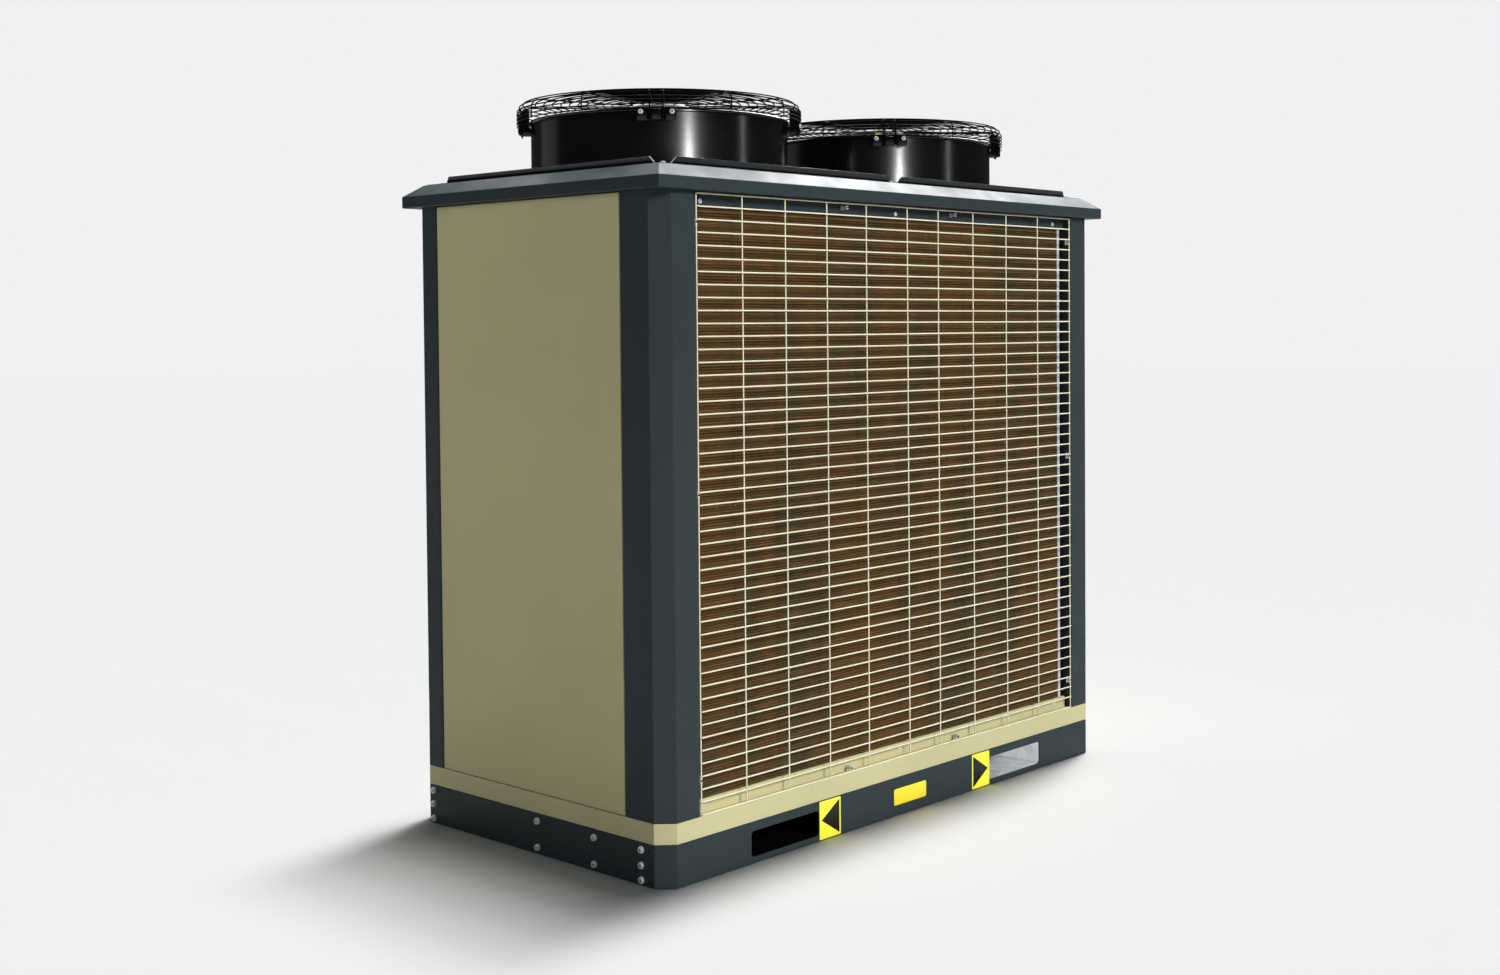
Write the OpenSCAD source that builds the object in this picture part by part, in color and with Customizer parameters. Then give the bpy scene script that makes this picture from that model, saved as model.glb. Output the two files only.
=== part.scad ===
// Twin-fan commercial pool heat pump, top discharge, with a coil on each long side.
// Millimetres, +Z up. The origin is on the ground at the centre of the footprint, the fans stand in
// line along X, the coils face -Y and +Y, the plain end is at -X and the service end at +X.

/* [Cabinet] */
// Length of the cabinet along the line of the fans
cabinet_l = 2120; // [2110:1:2140]
// Width of the cabinet across the fans
cabinet_w = 1096; // [1090:1:1110]
// Side of the 45 degree cut on each vertical corner
corner_cut = 45; // [40:1:50]
// Height of the posts' top above the ground
cabinet_top = 1900; // [1890:1:1910]
// Length of a front or rear post leg along the cabinet
post_long_leg = 91; // [88:1:94]
// Length of a front post leg along the end face
post_front_leg = 114; // [100:1:120]
// Length of a rear post leg along the end face
post_rear_leg = 71; // [65:1:75]

/* [Base] */
// Height of the base rails
base_h = 120; // [118:1:124]
// Thickness of the base rails
rail_t = 4; // [3:0.5:5]
// Height of the kick band above the base
band_h = 58; // [54:1:60]
// Distance from the middle to the near edge of a fork pocket
pocket_near = 430; // [400:1:440]
// Distance from the middle to the far edge of a fork pocket
pocket_far = 722; // [700:1:740]
// Height of a fork pocket's lower edge
pocket_low = 18; // [16:1:20]
// Height of a fork pocket's upper edge
pocket_high = 93; // [85:1:95]
// Radius of an anchor hole
anchor_r = 7; // [6:0.5:8]

/* [Roof] */
// How far the roof stands out past the cabinet
roof_out = 24; // [22:1:26]
// Height of the roof's upright edge
fascia_h = 35; // [30:1:38]
// Level run of the roof's slope
slope_run = 48; // [44:1:52]
// Rise of the roof's slope
slope_rise = 36; // [34:1:38]
// Place of the joint between the two fan decks along X
deck_split = 0; // [-5:1:5]

/* [Fans] */
// Distance between the two fan axes
fan_pitch = 1060; // [1056:1:1064]
// Outer radius of a fan shroud
shroud_r = 395; // [390:1:396]
// Height of a shroud's top
shroud_top = 2158; // [2150:1:2160]
// Radius of a fan guard
guard_r = 435; // [432:1:438]
// Height of a fan guard's top
guard_top = 2214; // [2212:1:2220]
// Number of blades on an impeller
blade_count = 5; // [4:1:7]

/* [Coils] */
// Spacing of the level wires of a coil guard
wire_pitch = 35.68; // [35.6:0.01:35.69]
// Thickness of a coil guard's wire
wire_d = 5; // [4:0.5:6]
// Depth of a coil from face to back
coil_depth = 66; // [44:1:70]

/* [Hidden] */
$fn = 64;

dark_paint = [0.16, 0.20, 0.22];
beige_paint = [0.68, 0.64, 0.49];
black_paint = [0.03, 0.03, 0.035];
cream_wire = [0.88, 0.84, 0.72];
bright_zinc = [0.80, 0.81, 0.83];
galvanised = [0.66, 0.69, 0.72];
copper = [0.72, 0.42, 0.26];
fin_brown = [0.35, 0.26, 0.17];
black_rubber = [0.05, 0.05, 0.05];
label_yellow = [0.95, 0.86, 0.10];
signal_red = [0.75, 0.08, 0.06];

// The cabinet's plan
half_l = cabinet_l / 2;
half_w = cabinet_w / 2;
corner_y = half_w - corner_cut;
far_away = 2 * cabinet_l;
slack = 1;

// Base and kick band
flange_w = 60;
tab_reach = 78;
band_t = 2;
band_lip = 28;
band_top = base_h + band_h;
sill_top = band_top + 38;
pan_t = 2;
beam_y = [-13, -260];
beam_w = 50;
tunnel_t = 3;
pocket_corner_r = 12;
pocket_l = pocket_far - pocket_near;
pocket_h = pocket_high - pocket_low;
anchor_x = 980;
anchor_y = half_w - 32;
drain_x = 850;
drain_y = 100;
drain_r = 16;
drain_low = 60;

// Bolts that hold the long rails and the beams to the end rails, as [y, z]
corner_bolt_rows = [[483, 102], [483, 60], [483, 15], [-454, 99], [-454, 56], [-454, 15]];
beam_bolt_rows = [[beam_y[0], 97], [beam_y[0], 20], [beam_y[1], 96], [beam_y[1], 20]];
spare_hole_rows = [[455, 102], [455, 60], [455, 15], [-483, 99], [-483, 56], [-483, 15]];
bolt_r = 5;
bolt_hole_r = 5.5;
bolt_across_flats = 17;
bolt_head_h = 6.4;
washer_r = 10.5;
washer_t = 2;

// Posts, panels and door
post_t = 3;
post_return = 48;
end_return = 30;
sheet_t = 2;
panel_gap = 2;
panel_inset = 0.5;
tray_depth = 22;
panel_y0 = -corner_y + post_front_leg + panel_gap;
panel_y1 = corner_y - post_rear_leg - panel_gap;
panel_z0 = band_top + panel_gap;
panel_z1 = cabinet_top - panel_gap;
door_z0 = 562;
door_face = half_l - panel_inset;
side_x = half_l - corner_cut - post_long_leg;

// Door hinges and latch
hinge_x = half_l + 7;
hinge_y = panel_y1 + panel_gap;
hinge_z = [700, 1230, 1760];
hinge_half = 35;
knuckle_r = 6;
knuckle_half = 11.5;
knuckle_gap = 0.5;
pin_r = 3;
running_clearance = 0.05;
leaf_t = 2.5;
leaf_w = 32;
leaf_offset = 8;
latch_y = panel_y0 + 45;
latch_z = 1230;
latch_shaft_r = 6;
latch_cam_x = half_l - 36;

// Service connections on the right end, as [y, z]
water_in = [-240, 440];
water_out = [-240, 290];
water_stub_r = 29.8;
water_pipe_r = 25;
water_hole_r = 34;
stub_reach = 23;
power_entry = [300, 260];
power_entry_r = 16;
signal_entry = [230, 260];
signal_entry_r = 10;
isolator_at = [240, 430];
isolator_shaft_r = 5;

// Top rails and roof
top_rail_low = 1860;
screen_face = half_w - 28;
roof_l = half_l + roof_out;
roof_w = half_w + roof_out;
fascia_top = cabinet_top + fascia_h;
roof_flat = fascia_top + slope_rise;
roof_flange = 72;
deck_t = 2;
deck_margin = 6;
deck_top = roof_flat + deck_t;
rim_x = 992;
rim_y = 493;
rim_h = 24;
rim_lean = 15;
corner_notch = [25, 45];
split_notch = [18, 36];
deck_screw_in = 4;
deck_screw_head = [8, 7];
cabinet_screw_head = [6, 3];
screw_r = 2.5;
screw_l = 11;
rail_screw_z = 1875;
sill_screw_z = band_top + 18;

// Fans
fan_x = fan_pitch / 2;
shroud_t = 3;
shroud_foot_r = 412;
rim_bead = 5;
bar = 4.5;
guard_side_rings = [2152, 2164, 2176, 2188, 2200];
guard_ring_step = 26;
guard_inner_r = 95;
wire_turn = 30;
first_wire = 45;
double_wire_half = 19.5;
wire_foot = 2127;
motor_flange_r = 90;
motor_r = 70;
rotor_bore_r = 74;
rotor_r = 92;
rotor_low = 2060;
rotor_high = 2175;
motor_shaft_r = 12;
blade_tip_r = 387;
blade_tilt = 24;
blade_z = 2096;
bracket_z = [2121, 2151.5];
bracket_half = 60;
bracket_t = 3;
bracket_bolt = 45;
bracket_bolt_z = 2144;
bracket_bolt_r = 4;
bracket_head_r = 7.5;

// Coils and their guards
coil_left = -915;
coil_right = 893;
coil_low = 192;
coil_high = 1858;
coil_face = half_w - 38;
coil_wall = 3;
end_plate_t = 2;
end_plate_lip = 14;
header_x = 930;
header_y = 460;
header_r = 19;
liquid_header_x = 965;
liquid_header_y = 495;
liquid_header_r = 11;
wire_rows = 48;
top_wire = 1894;
upright_x = [-918, -736, -556, -373, -190, 10, 168, 354, 540, 724, 920];
clip_low_x = [-284, 255];
clip_level_z = [184, 1876];
clip_side_z = [1804, 1055, 265];
rail_screw_x = [-880, -20, 850];
sill_screw_x = [-890, -15, 850];

// Refrigeration parts
compressor_x = 640;
compressor_y = 190;
compressor_r = 90;
compressor_low = base_h + pan_t + 30;
compressor_high = 580;
foot_plate = [200, 200, 8];
foot_in = 20;
rubber_foot_r = 14;
exchanger_x = [-760, 330];
exchanger_z = 300;
exchanger_r = 105;
flange_t = 28;
saddle = [40, 180];
accumulator_at = [430, -215];
accumulator_z = [base_h + pan_t + 20, 620];
accumulator_r = 75;
drier_at = [420, 230, 420];
drier_r = 38;
drier_half = 110;
valve_x = [440, 620];
valve_z = 760;
valve_r = 24;
valve_ports = [480, 530, 580];
port_r = 12;
port_reach = 60;
valve_low = valve_z - port_reach + 2;
valve_top = valve_z + port_reach - 2;
line_r = 12;
hot_line_r = 11;
liquid_line_r = 8;
hot_line_z = 850;
gas_line_z = [640, 660, 670];
liquid_line_z = [240, 720];
water_turn_x = [800, 760];
box_low = [930, -330, 900];
box_size = [85, 660, 800];
box_wall = 1.5;

// ---- Shared shapes ----

// The cabinet's plan outline, moved in by inset all round
module cabinet_plan(inset) {
    l = half_l - inset;
    w = half_w - inset;
    c = corner_cut - inset * (2 - sqrt(2));
    polygon([
        [l - c, -w], [l, -w + c], [l, w - c], [l - c, w],
        [c - l, w], [-l, w - c], [-l, -w + c], [c - l, -w]
    ]);
}

// A level strip of the cabinet's plan, width wide, along the front and round its two corner cuts
module front_strip(width) {
    intersection() {
        difference() {
            cabinet_plan(0);
            cabinet_plan(width);
        }
        translate([-far_away / 2, -far_away - corner_y]) square(far_away);
    }
}

// A level strip of the cabinet's plan, width wide, along the left end between the corner cuts
module left_strip(width) {
    translate([-half_l, -corner_y]) square([width, 2 * corner_y]);
}

function round_rect(w, h, r, steps = 6) = [
    for (corner = [[w - r, h - r, 0], [r, h - r, 90], [r, r, 180], [w - r, r, 270]])
        for (i = [0:steps])
            [corner[0] + r * cos(corner[2] + 90 * i / steps), corner[1] + r * sin(corner[2] + 90 * i / steps)]
];

// Turns a shape drawn in X and Y so that it stands up facing -Y, with its Y as height
module stand_up(y, depth) {
    translate([0, y + depth, 0]) rotate([90, 0, 0]) linear_extrude(depth) children();
}

// A cylinder along X from x0 to x1
module bar_x(x0, x1, y, z, r) {
    translate([x0, y, z]) rotate([0, 90, 0]) cylinder(h = x1 - x0, r = r);
}

// A folded sheet tray of the left end, its face at x0 and its edges turned in towards +X
module end_tray(x0, y0, y1, z0, z1) {
    difference() {
        translate([x0, y0, z0]) cube([tray_depth, y1 - y0, z1 - z0]);
        translate([x0 + sheet_t, y0 + sheet_t, z0 + sheet_t])
            cube([tray_depth, y1 - y0 - 2 * sheet_t, z1 - z0 - 2 * sheet_t]);
    }
}

// Pipe paths: points with rounded bends, swept with a round section
function unit(v) = v / norm(v);
function bend_point(p, u, m, r, t) = p + r * m - r * cos(t) * m + r * sin(t) * u;
function bend(a, b, c, r, steps) =
    let (u = unit(b - a), w = unit(c - b), turn = acos(u * w), p = b - u * r * tan(turn / 2))
    let (m = unit(w - u * (u * w)))
    [for (k = [0:steps]) bend_point(p, u, m, r, turn * k / steps)];
function smooth_path(pts, r, steps = 4) = [
    pts[0],
    for (i = [1:len(pts) - 2]) for (p = bend(pts[i - 1], pts[i], pts[i + 1], r, steps)) p,
    pts[len(pts) - 1]
];
function tangent(path, i) = unit(path[min(i + 1, len(path) - 1)] - path[max(i - 1, 0)]);
function any_normal(t) = unit(cross(t, abs(t[2]) < 0.9 ? [0, 0, 1] : [1, 0, 0]));
function normals(path, i = 0, found = []) =
    i == len(path) ? found
    : let (t = tangent(path, i), n = i == 0 ? any_normal(t) : unit(found[i - 1] - t * (found[i - 1] * t)))
      normals(path, i + 1, concat(found, [n]));

module swept_pipe(points, r, bend_r, sides = 8) {
    path = smooth_path(points, bend_r);
    side = normals(path);
    last = len(path) - 1;
    rings = [
        for (i = [0:last]) let (t = tangent(path, i), b = cross(t, side[i]))
            for (k = [0:sides - 1])
                path[i] + r * cos(360 * k / sides) * side[i] + r * sin(360 * k / sides) * b
    ];
    walls = [
        for (i = [0:last - 1]) for (k = [0:sides - 1]) let (n = (k + 1) % sides)
            [i * sides + k, (i + 1) * sides + k, (i + 1) * sides + n, i * sides + n]
    ];
    caps = [[for (k = [0:sides - 1]) k], [for (k = [sides - 1:-1:0]) last * sides + k]];
    polyhedron(rings, concat(walls, caps));
}

// ---- Base ----

module pocket_cuts() {
    for (x = [pocket_near, -pocket_far])
        translate([x, pocket_low]) polygon(round_rect(pocket_l, pocket_h, pocket_corner_r));
}

module long_rail() {
    tab_x = half_l - 2 * rail_t;
    difference() {
        union() {
            linear_extrude(base_h) front_strip(rail_t);
            for (z = [0, base_h - rail_t])
                translate([0, 0, z]) linear_extrude(rail_t) front_strip(flange_w);
            for (x = [-tab_x - rail_t, tab_x])
                translate([x, -corner_y - 2, rail_t]) cube([rail_t, tab_reach + 2, base_h - 2 * rail_t]);
        }
        stand_up(-half_w - slack, rail_t + 2 * slack) pocket_cuts();
        for (x = [-anchor_x, anchor_x])
            translate([x, -anchor_y, -slack]) cylinder(h = rail_t + 2 * slack, r = anchor_r);
    }
}

module end_bolt_holes(rows, r) {
    for (row = rows) bar_x(-half_l - slack, -half_l + 2 * rail_t + slack, row[0], row[1], r);
}

module base_rail_front() color(dark_paint) difference() {
    long_rail();
    end_bolt_holes(corner_bolt_rows, bolt_hole_r);
    mirror([1, 0, 0]) end_bolt_holes(corner_bolt_rows, bolt_hole_r);
}

module base_rail_rear() color(dark_paint) difference() {
    mirror([0, 1, 0]) long_rail();
    end_bolt_holes(corner_bolt_rows, bolt_hole_r);
    mirror([1, 0, 0]) end_bolt_holes(corner_bolt_rows, bolt_hole_r);
}

module base_rail_left() color(dark_paint) difference() {
    union() {
        linear_extrude(base_h) left_strip(rail_t);
        for (z = [0, base_h - rail_t]) translate([0, 0, z]) linear_extrude(rail_t) left_strip(flange_w);
    }
    end_bolt_holes(corner_bolt_rows, bolt_hole_r);
    end_bolt_holes(beam_bolt_rows, bolt_hole_r);
    end_bolt_holes(spare_hole_rows, bolt_r / 2);
}

module base_rail_right() mirror([1, 0, 0]) base_rail_left();

module base_beam(y) {
    beam_l = 2 * (half_l - rail_t);
    beam_h = base_h - 2 * rail_t;
    clear = 0.5;
    difference() {
        translate([-beam_l / 2, y - beam_w / 2, rail_t]) cube([beam_l, beam_w, beam_h]);
        translate([-beam_l / 2 + rail_t, y - beam_w / 2 + rail_t, 2 * rail_t])
            cube([beam_l - 2 * rail_t, beam_w, beam_h - 2 * rail_t]);
        for (x = [pocket_near, -pocket_far])
            translate([x - tunnel_t - clear, y - beam_w, pocket_low - tunnel_t - clear])
                cube([pocket_l + 2 * (tunnel_t + clear), 2 * beam_w, pocket_h + 2 * (tunnel_t + clear)]);
        end_bolt_holes(beam_bolt_rows, bolt_hole_r);
        mirror([1, 0, 0]) end_bolt_holes(beam_bolt_rows, bolt_hole_r);
    }
}

module base_beams() color(dark_paint) for (y = beam_y) base_beam(y);

module fork_tunnel(x) {
    tunnel_l = 2 * (half_w - rail_t);
    difference() {
        translate([x - tunnel_t, -tunnel_l / 2, pocket_low - tunnel_t])
            cube([pocket_l + 2 * tunnel_t, tunnel_l, pocket_h + 2 * tunnel_t]);
        translate([x, -tunnel_l / 2 - slack, pocket_low]) cube([pocket_l, tunnel_l + 2 * slack, pocket_h]);
    }
}

module fork_tunnel_left() color(black_paint) fork_tunnel(-pocket_far);

module fork_tunnel_right() color(galvanised) fork_tunnel(pocket_near);

// The floor sheet, with the spigot that drains its meltwater and condensate
module base_pan() color(galvanised) difference() {
    union() {
        translate([0, 0, base_h]) linear_extrude(pan_t) cabinet_plan(band_t + 1);
        translate([drain_x, drain_y, drain_low]) cylinder(h = base_h + slack - drain_low, r = drain_r);
    }
    translate([drain_x, drain_y, drain_low - slack]) cylinder(h = base_h, r = drain_r - 3);
}

module end_bolt(y, z) {
    washer_x = -half_l - washer_t;
    bar_x(washer_x, -half_l, y, z, washer_r);
    bar_x(washer_x - slack, -half_l + 2 * rail_t + 3, y, z, bolt_r);
    translate([washer_x - bolt_head_h, y, z]) rotate([0, 90, 0])
        cylinder(h = bolt_head_h, d = bolt_across_flats / cos(30), $fn = 6);
}

module base_bolts() color(bright_zinc) for (turn = [0, 1]) mirror([turn, 0, 0])
    for (row = concat(corner_bolt_rows, beam_bolt_rows)) end_bolt(row[0], row[1]);

// ---- Kick band ----

module long_band() {
    sill_fold = 9;
    translate([0, 0, base_h]) linear_extrude(band_h) front_strip(band_t);
    translate([0, 0, band_top - band_t]) linear_extrude(band_t) front_strip(band_lip);
    translate([-side_x + 5, -screen_face - band_t, band_top - band_t])
        cube([2 * side_x - 10, band_t, sill_top - band_top + band_t]);
    translate([-side_x + 5, -screen_face - band_t, sill_top - band_t])
        cube([2 * side_x - 10, sill_fold, band_t]);
}

// A hole for a cabinet screw through a sheet whose inner face is at y
module screw_hole(x, y, z) {
    translate([x, y - 2 * sheet_t, z]) rotate([-90, 0, 0]) cylinder(h = 3 * sheet_t, r = screw_r + 0.2);
}

module kick_band_front() color(beige_paint) difference() {
    long_band();
    for (x = sill_screw_x) screw_hole(x, -screen_face, sill_screw_z);
}

module kick_band_rear() mirror([0, 1, 0]) kick_band_front();

module kick_band_left() color(beige_paint) {
    translate([0, 0, base_h]) linear_extrude(band_h) left_strip(band_t);
    translate([0, 0, band_top - band_t]) linear_extrude(band_t) left_strip(band_lip);
}

module kick_band_right() mirror([1, 0, 0]) kick_band_left();

// ---- Posts ----

// A folded corner post of the front left corner, its end leg as long as end_leg
module corner_post(end_leg) {
    inner_cut = corner_cut - post_t * (2 - sqrt(2));
    leg_y = -corner_y + end_leg;
    translate([0, 0, band_top]) linear_extrude(cabinet_top - band_top) polygon([
        [-half_l + end_return, leg_y], [-half_l, leg_y], [-half_l, -corner_y],
        [-half_l + corner_cut, -half_w], [-side_x, -half_w], [-side_x, -half_w + post_return],
        [-side_x - post_t, -half_w + post_return], [-side_x - post_t, -half_w + post_t],
        [-half_l + post_t + inner_cut, -half_w + post_t], [-half_l + post_t, -half_w + post_t + inner_cut],
        [-half_l + post_t, leg_y - post_t], [-half_l + end_return, leg_y - post_t]
    ]);
}

module post_front_left() color(dark_paint) corner_post(post_front_leg);

module post_front_right() color(dark_paint) mirror([1, 0, 0]) corner_post(post_front_leg);

module post_rear_left() color(dark_paint) mirror([0, 1, 0]) corner_post(post_rear_leg);

module post_rear_right() color(dark_paint) mirror([1, 0, 0]) mirror([0, 1, 0]) corner_post(post_rear_leg);

// ---- Panels and door ----

module end_panel() color(beige_paint) end_tray(-door_face, panel_y0, panel_y1, panel_z0, panel_z1);

module service_door() color(beige_paint) {
    difference() {
        mirror([1, 0, 0]) end_tray(-door_face, panel_y0, panel_y1, door_z0, panel_z1);
        bar_x(door_face - 2 * sheet_t, half_l + slack, latch_y, latch_z, latch_shaft_r + running_clearance);
    }
    for (z = hinge_z) difference() {
        union() {
            translate([door_face, hinge_y - leaf_offset - leaf_w, z - hinge_half])
                cube([leaf_t, leaf_w, 2 * hinge_half]);
            translate([door_face, hinge_y - leaf_offset - slack, z - knuckle_half])
                cube([leaf_t, leaf_offset + slack / 2, 2 * knuckle_half]);
            translate([hinge_x, hinge_y, z - knuckle_half]) cylinder(h = 2 * knuckle_half, r = knuckle_r);
        }
        translate([hinge_x, hinge_y, z - hinge_half])
            cylinder(h = 2 * hinge_half, r = pin_r + running_clearance);
    }
}

// The hinge halves on the rear post, each with its pin
module door_hinges() color(bright_zinc) for (z = hinge_z) {
    knuckle_low = knuckle_half + knuckle_gap;
    knuckle_h = hinge_half - knuckle_low;
    translate([half_l, hinge_y + leaf_offset, z - hinge_half]) cube([leaf_t, leaf_w, 2 * hinge_half]);
    for (end = [-hinge_half, knuckle_low]) {
        translate([half_l, hinge_y, z + end]) cube([leaf_t, leaf_offset + slack, knuckle_h]);
        translate([hinge_x, hinge_y, z + end]) cylinder(h = knuckle_h, r = knuckle_r);
    }
    translate([hinge_x, hinge_y, z - hinge_half]) cylinder(h = 2 * hinge_half, r = pin_r);
}

module door_latch() color(black_paint) {
    cam = [4, 18, 62];
    grip = [13, 12, 52];
    rose_r = 21;
    bar_x(latch_cam_x, half_l + 2, latch_y, latch_z, latch_shaft_r);
    bar_x(half_l, half_l + 5, latch_y, latch_z, rose_r);
    translate([half_l + 4, latch_y - grip[1] / 2, latch_z - grip[2] / 2]) cube(grip);
    translate([latch_cam_x - cam[0] / 2, latch_y - cam[1] / 2, latch_z - cam[1] / 2]) cube(cam);
}

module connection_panel() color(beige_paint) difference() {
    mirror([1, 0, 0]) end_tray(-door_face, panel_y0, panel_y1, panel_z0, door_z0 - 2 * panel_gap);
    for (hole = [[water_in, water_hole_r], [water_out, water_hole_r], [power_entry, power_entry_r],
                 [signal_entry, signal_entry_r], [isolator_at, isolator_shaft_r + 1]])
        bar_x(door_face - 2 * sheet_t, half_l + slack, hole[0][0], hole[0][1], hole[1]);
}

// ---- Top rails and roof ----

module top_rail_front() color(dark_paint) difference() {
    rail_depth = 40;
    rail_l = 2 * side_x - 6;
    translate([-rail_l / 2, -screen_face - sheet_t, top_rail_low])
        cube([rail_l, rail_depth, cabinet_top - top_rail_low]);
    translate([-rail_l / 2 - slack, -screen_face, top_rail_low + sheet_t])
        cube([rail_l + 2 * slack, rail_depth, cabinet_top - top_rail_low - 2 * sheet_t]);
    for (x = rail_screw_x) screw_hole(x, -screen_face, rail_screw_z);
}

module top_rail_rear() mirror([0, 1, 0]) top_rail_front();

// One side of the roof: a folded edge of the given half length and half width, mitred at both ends
module roof_edge(along, across) {
    slope_t = sheet_t * 1.25;
    lip = 22;
    intersection() {
        translate([-along - slack, 0, 0]) rotate([90, 0, 90]) linear_extrude(2 * (along + slack)) polygon([
            [-across + roof_flange, cabinet_top], [-across, cabinet_top], [-across, fascia_top],
            [-across + slope_run, roof_flat], [-across + slope_run + lip, roof_flat],
            [-across + slope_run + lip, roof_flat - sheet_t], [-across + slope_run, roof_flat - slope_t],
            [-across + sheet_t, fascia_top - sheet_t / 2], [-across + sheet_t, cabinet_top + sheet_t],
            [-across + roof_flange, cabinet_top + sheet_t]
        ]);
        translate([0, 0, cabinet_top - slack]) linear_extrude(roof_flat - cabinet_top + 2 * slack)
            polygon([[-along, -across], [along, -across], [along - across / 2, -across / 2],
                     [-along + across / 2, -across / 2]]);
    }
}

module roof_edge_front() color(dark_paint) roof_edge(roof_l, roof_w);

module roof_edge_rear() color(dark_paint) mirror([0, 1, 0]) roof_edge(roof_l, roof_w);

module roof_edge_left() color(dark_paint) rotate([0, 0, -90]) roof_edge(roof_w, roof_l);

module roof_edge_right() color(dark_paint) rotate([0, 0, 90]) roof_edge(roof_w, roof_l);

// An upturned deck rim along X from x0 to x1, its ends cut back by the notches [foot, top]
module deck_rim(x0, x1, notch0, notch1) {
    sunk = 0.5;
    translate([0, 0, deck_top - sunk]) rotate([90 + rim_lean, 0, 0]) linear_extrude(deck_t) polygon([
        [x0 + notch0[0], 0], [x1 - notch1[0], 0], [x1 - notch1[1], rim_h], [x0 + notch0[1], rim_h]
    ]);
}

// The deck from the outer edge at -X to the joint at +joint_x, with its fan opening at hole_x
module fan_deck(joint_x, hole_x) {
    edge_l = roof_l - slope_run - deck_margin;
    edge_w = roof_w - slope_run - deck_margin;
    difference() {
        translate([-edge_l, -edge_w, roof_flat]) cube([edge_l + joint_x, 2 * edge_w, deck_t]);
        translate([hole_x, 0, roof_flat - slack])
            cylinder(h = deck_t + 2 * slack, r = shroud_r - shroud_t, $fn = 128);
        for (x = [-rim_x + deck_screw_in, joint_x]) for (y = [-rim_y + deck_screw_in, rim_y - deck_screw_in])
            translate([x, y, roof_flat - slack]) cylinder(h = deck_t + 2 * slack, r = screw_r + 0.2);
    }
    for (turn = [0, 1]) mirror([0, turn, 0]) translate([0, -rim_y, 0])
        deck_rim(-rim_x, joint_x, corner_notch, split_notch);
    translate([-rim_x, 0, 0]) rotate([0, 0, -90]) deck_rim(-rim_y, rim_y, corner_notch, corner_notch);
}

module fan_deck_left() color(black_paint) fan_deck(deck_split, -fan_x);

module fan_deck_right() color(black_paint) mirror([1, 0, 0]) fan_deck(-deck_split - slack, -fan_x);

// ---- Fans ----

module fan_shroud() rotate_extrude($fn = 180) polygon([
    [shroud_r - shroud_t, deck_top], [shroud_foot_r, deck_top], [shroud_foot_r, deck_top + shroud_t],
    [shroud_r, deck_top + shroud_t], [shroud_r, shroud_top - 2 * rim_bead],
    [shroud_r + rim_bead, shroud_top - rim_bead], [shroud_r + rim_bead, shroud_top],
    [shroud_r - shroud_t, shroud_top]
]);

module fan_shroud_left() color(black_paint) translate([-fan_x, 0, 0]) fan_shroud();

module fan_shroud_right() color(black_paint) translate([fan_x, 0, 0]) fan_shroud();

// A guard wire at the given turn and sideways offset, from foot up the side and in across the top
module guard_wire(turn, offset, foot) rotate([0, 0, turn]) {
    wire_top = guard_top - bar / 2;
    translate([guard_r - bar, offset - bar / 2, foot]) cube([bar, bar, wire_top - foot]);
    translate([guard_inner_r - bar, offset - bar / 2, wire_top - bar])
        cube([guard_r - guard_inner_r, bar, bar]);
}

module ring(r, z) translate([0, 0, z]) rotate_extrude($fn = 128) translate([r - bar / 2, 0]) square(bar);

module fan_guard() {
    for (z = guard_side_rings) ring(guard_r, z);
    for (r = [guard_inner_r:guard_ring_step:guard_r - bar]) ring(r, guard_top - bar);
    for (k = [0:360 / wire_turn - 1]) {
        turn = first_wire + k * wire_turn;
        if (k % 3 == 0) {
            for (side = [-double_wire_half, double_wire_half]) guard_wire(turn, side, wire_foot);
        } else {
            guard_wire(turn, 0, guard_side_rings[0]);
        }
    }
}

module fan_guard_left() color(black_paint) translate([-fan_x, 0, 0]) fan_guard();

module fan_guard_right() color(black_paint) translate([fan_x, 0, 0]) fan_guard();

// A bracket on the shroud's side: a face plate with two upright webs that back a pair of guard wires
module guard_bracket() {
    web_outer = guard_r - bar - 0.1;
    web_inner = shroud_r + 7.5;
    web_foot = shroud_r + 0.3;
    web_foot_z = shroud_top - 12;
    web_top = guard_top - 11;
    web_corner = 12;
    plate_x = web_outer - bracket_t - 1;
    difference() {
        union() {
            translate([plate_x, -bracket_half, bracket_z[0]])
                cube([bracket_t, 2 * bracket_half, bracket_z[1] - bracket_z[0]]);
            for (y = [-double_wire_half, double_wire_half])
                translate([0, y + bracket_t / 2, 0]) rotate([90, 0, 0]) linear_extrude(bracket_t) polygon([
                    [web_foot, bracket_z[0]], [web_outer, bracket_z[0]], [web_outer, web_top - web_corner],
                    [web_outer - web_corner, web_top], [web_inner, web_top], [web_inner, web_foot_z],
                    [web_foot, web_foot_z]
                ]);
        }
        for (y = [-bracket_bolt, bracket_bolt])
            bar_x(plate_x - 1, web_outer + 1, y, bracket_bolt_z, bracket_bolt_r + 0.3);
    }
}

module at_brackets() for (x = [-fan_x, fan_x]) for (k = [0:3])
    translate([x, 0, 0]) rotate([0, 0, first_wire + 90 * k]) children();

module guard_brackets() color(black_paint) at_brackets() guard_bracket();

// The still half of the motor, hung from the guard: top flange, stator and shaft
module fan_motor() {
    flange_top = guard_top - bar * 1.5 - 0.5;
    flange_low = flange_top - 7;
    rotate_extrude() polygon([
        [0, flange_top], [motor_flange_r, flange_top], [motor_flange_r, flange_low], [motor_r, flange_low],
        [motor_r, rotor_low + 60], [motor_shaft_r, rotor_low + 60], [motor_shaft_r, rotor_low - 4],
        [0, rotor_low - 4]
    ]);
}

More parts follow.
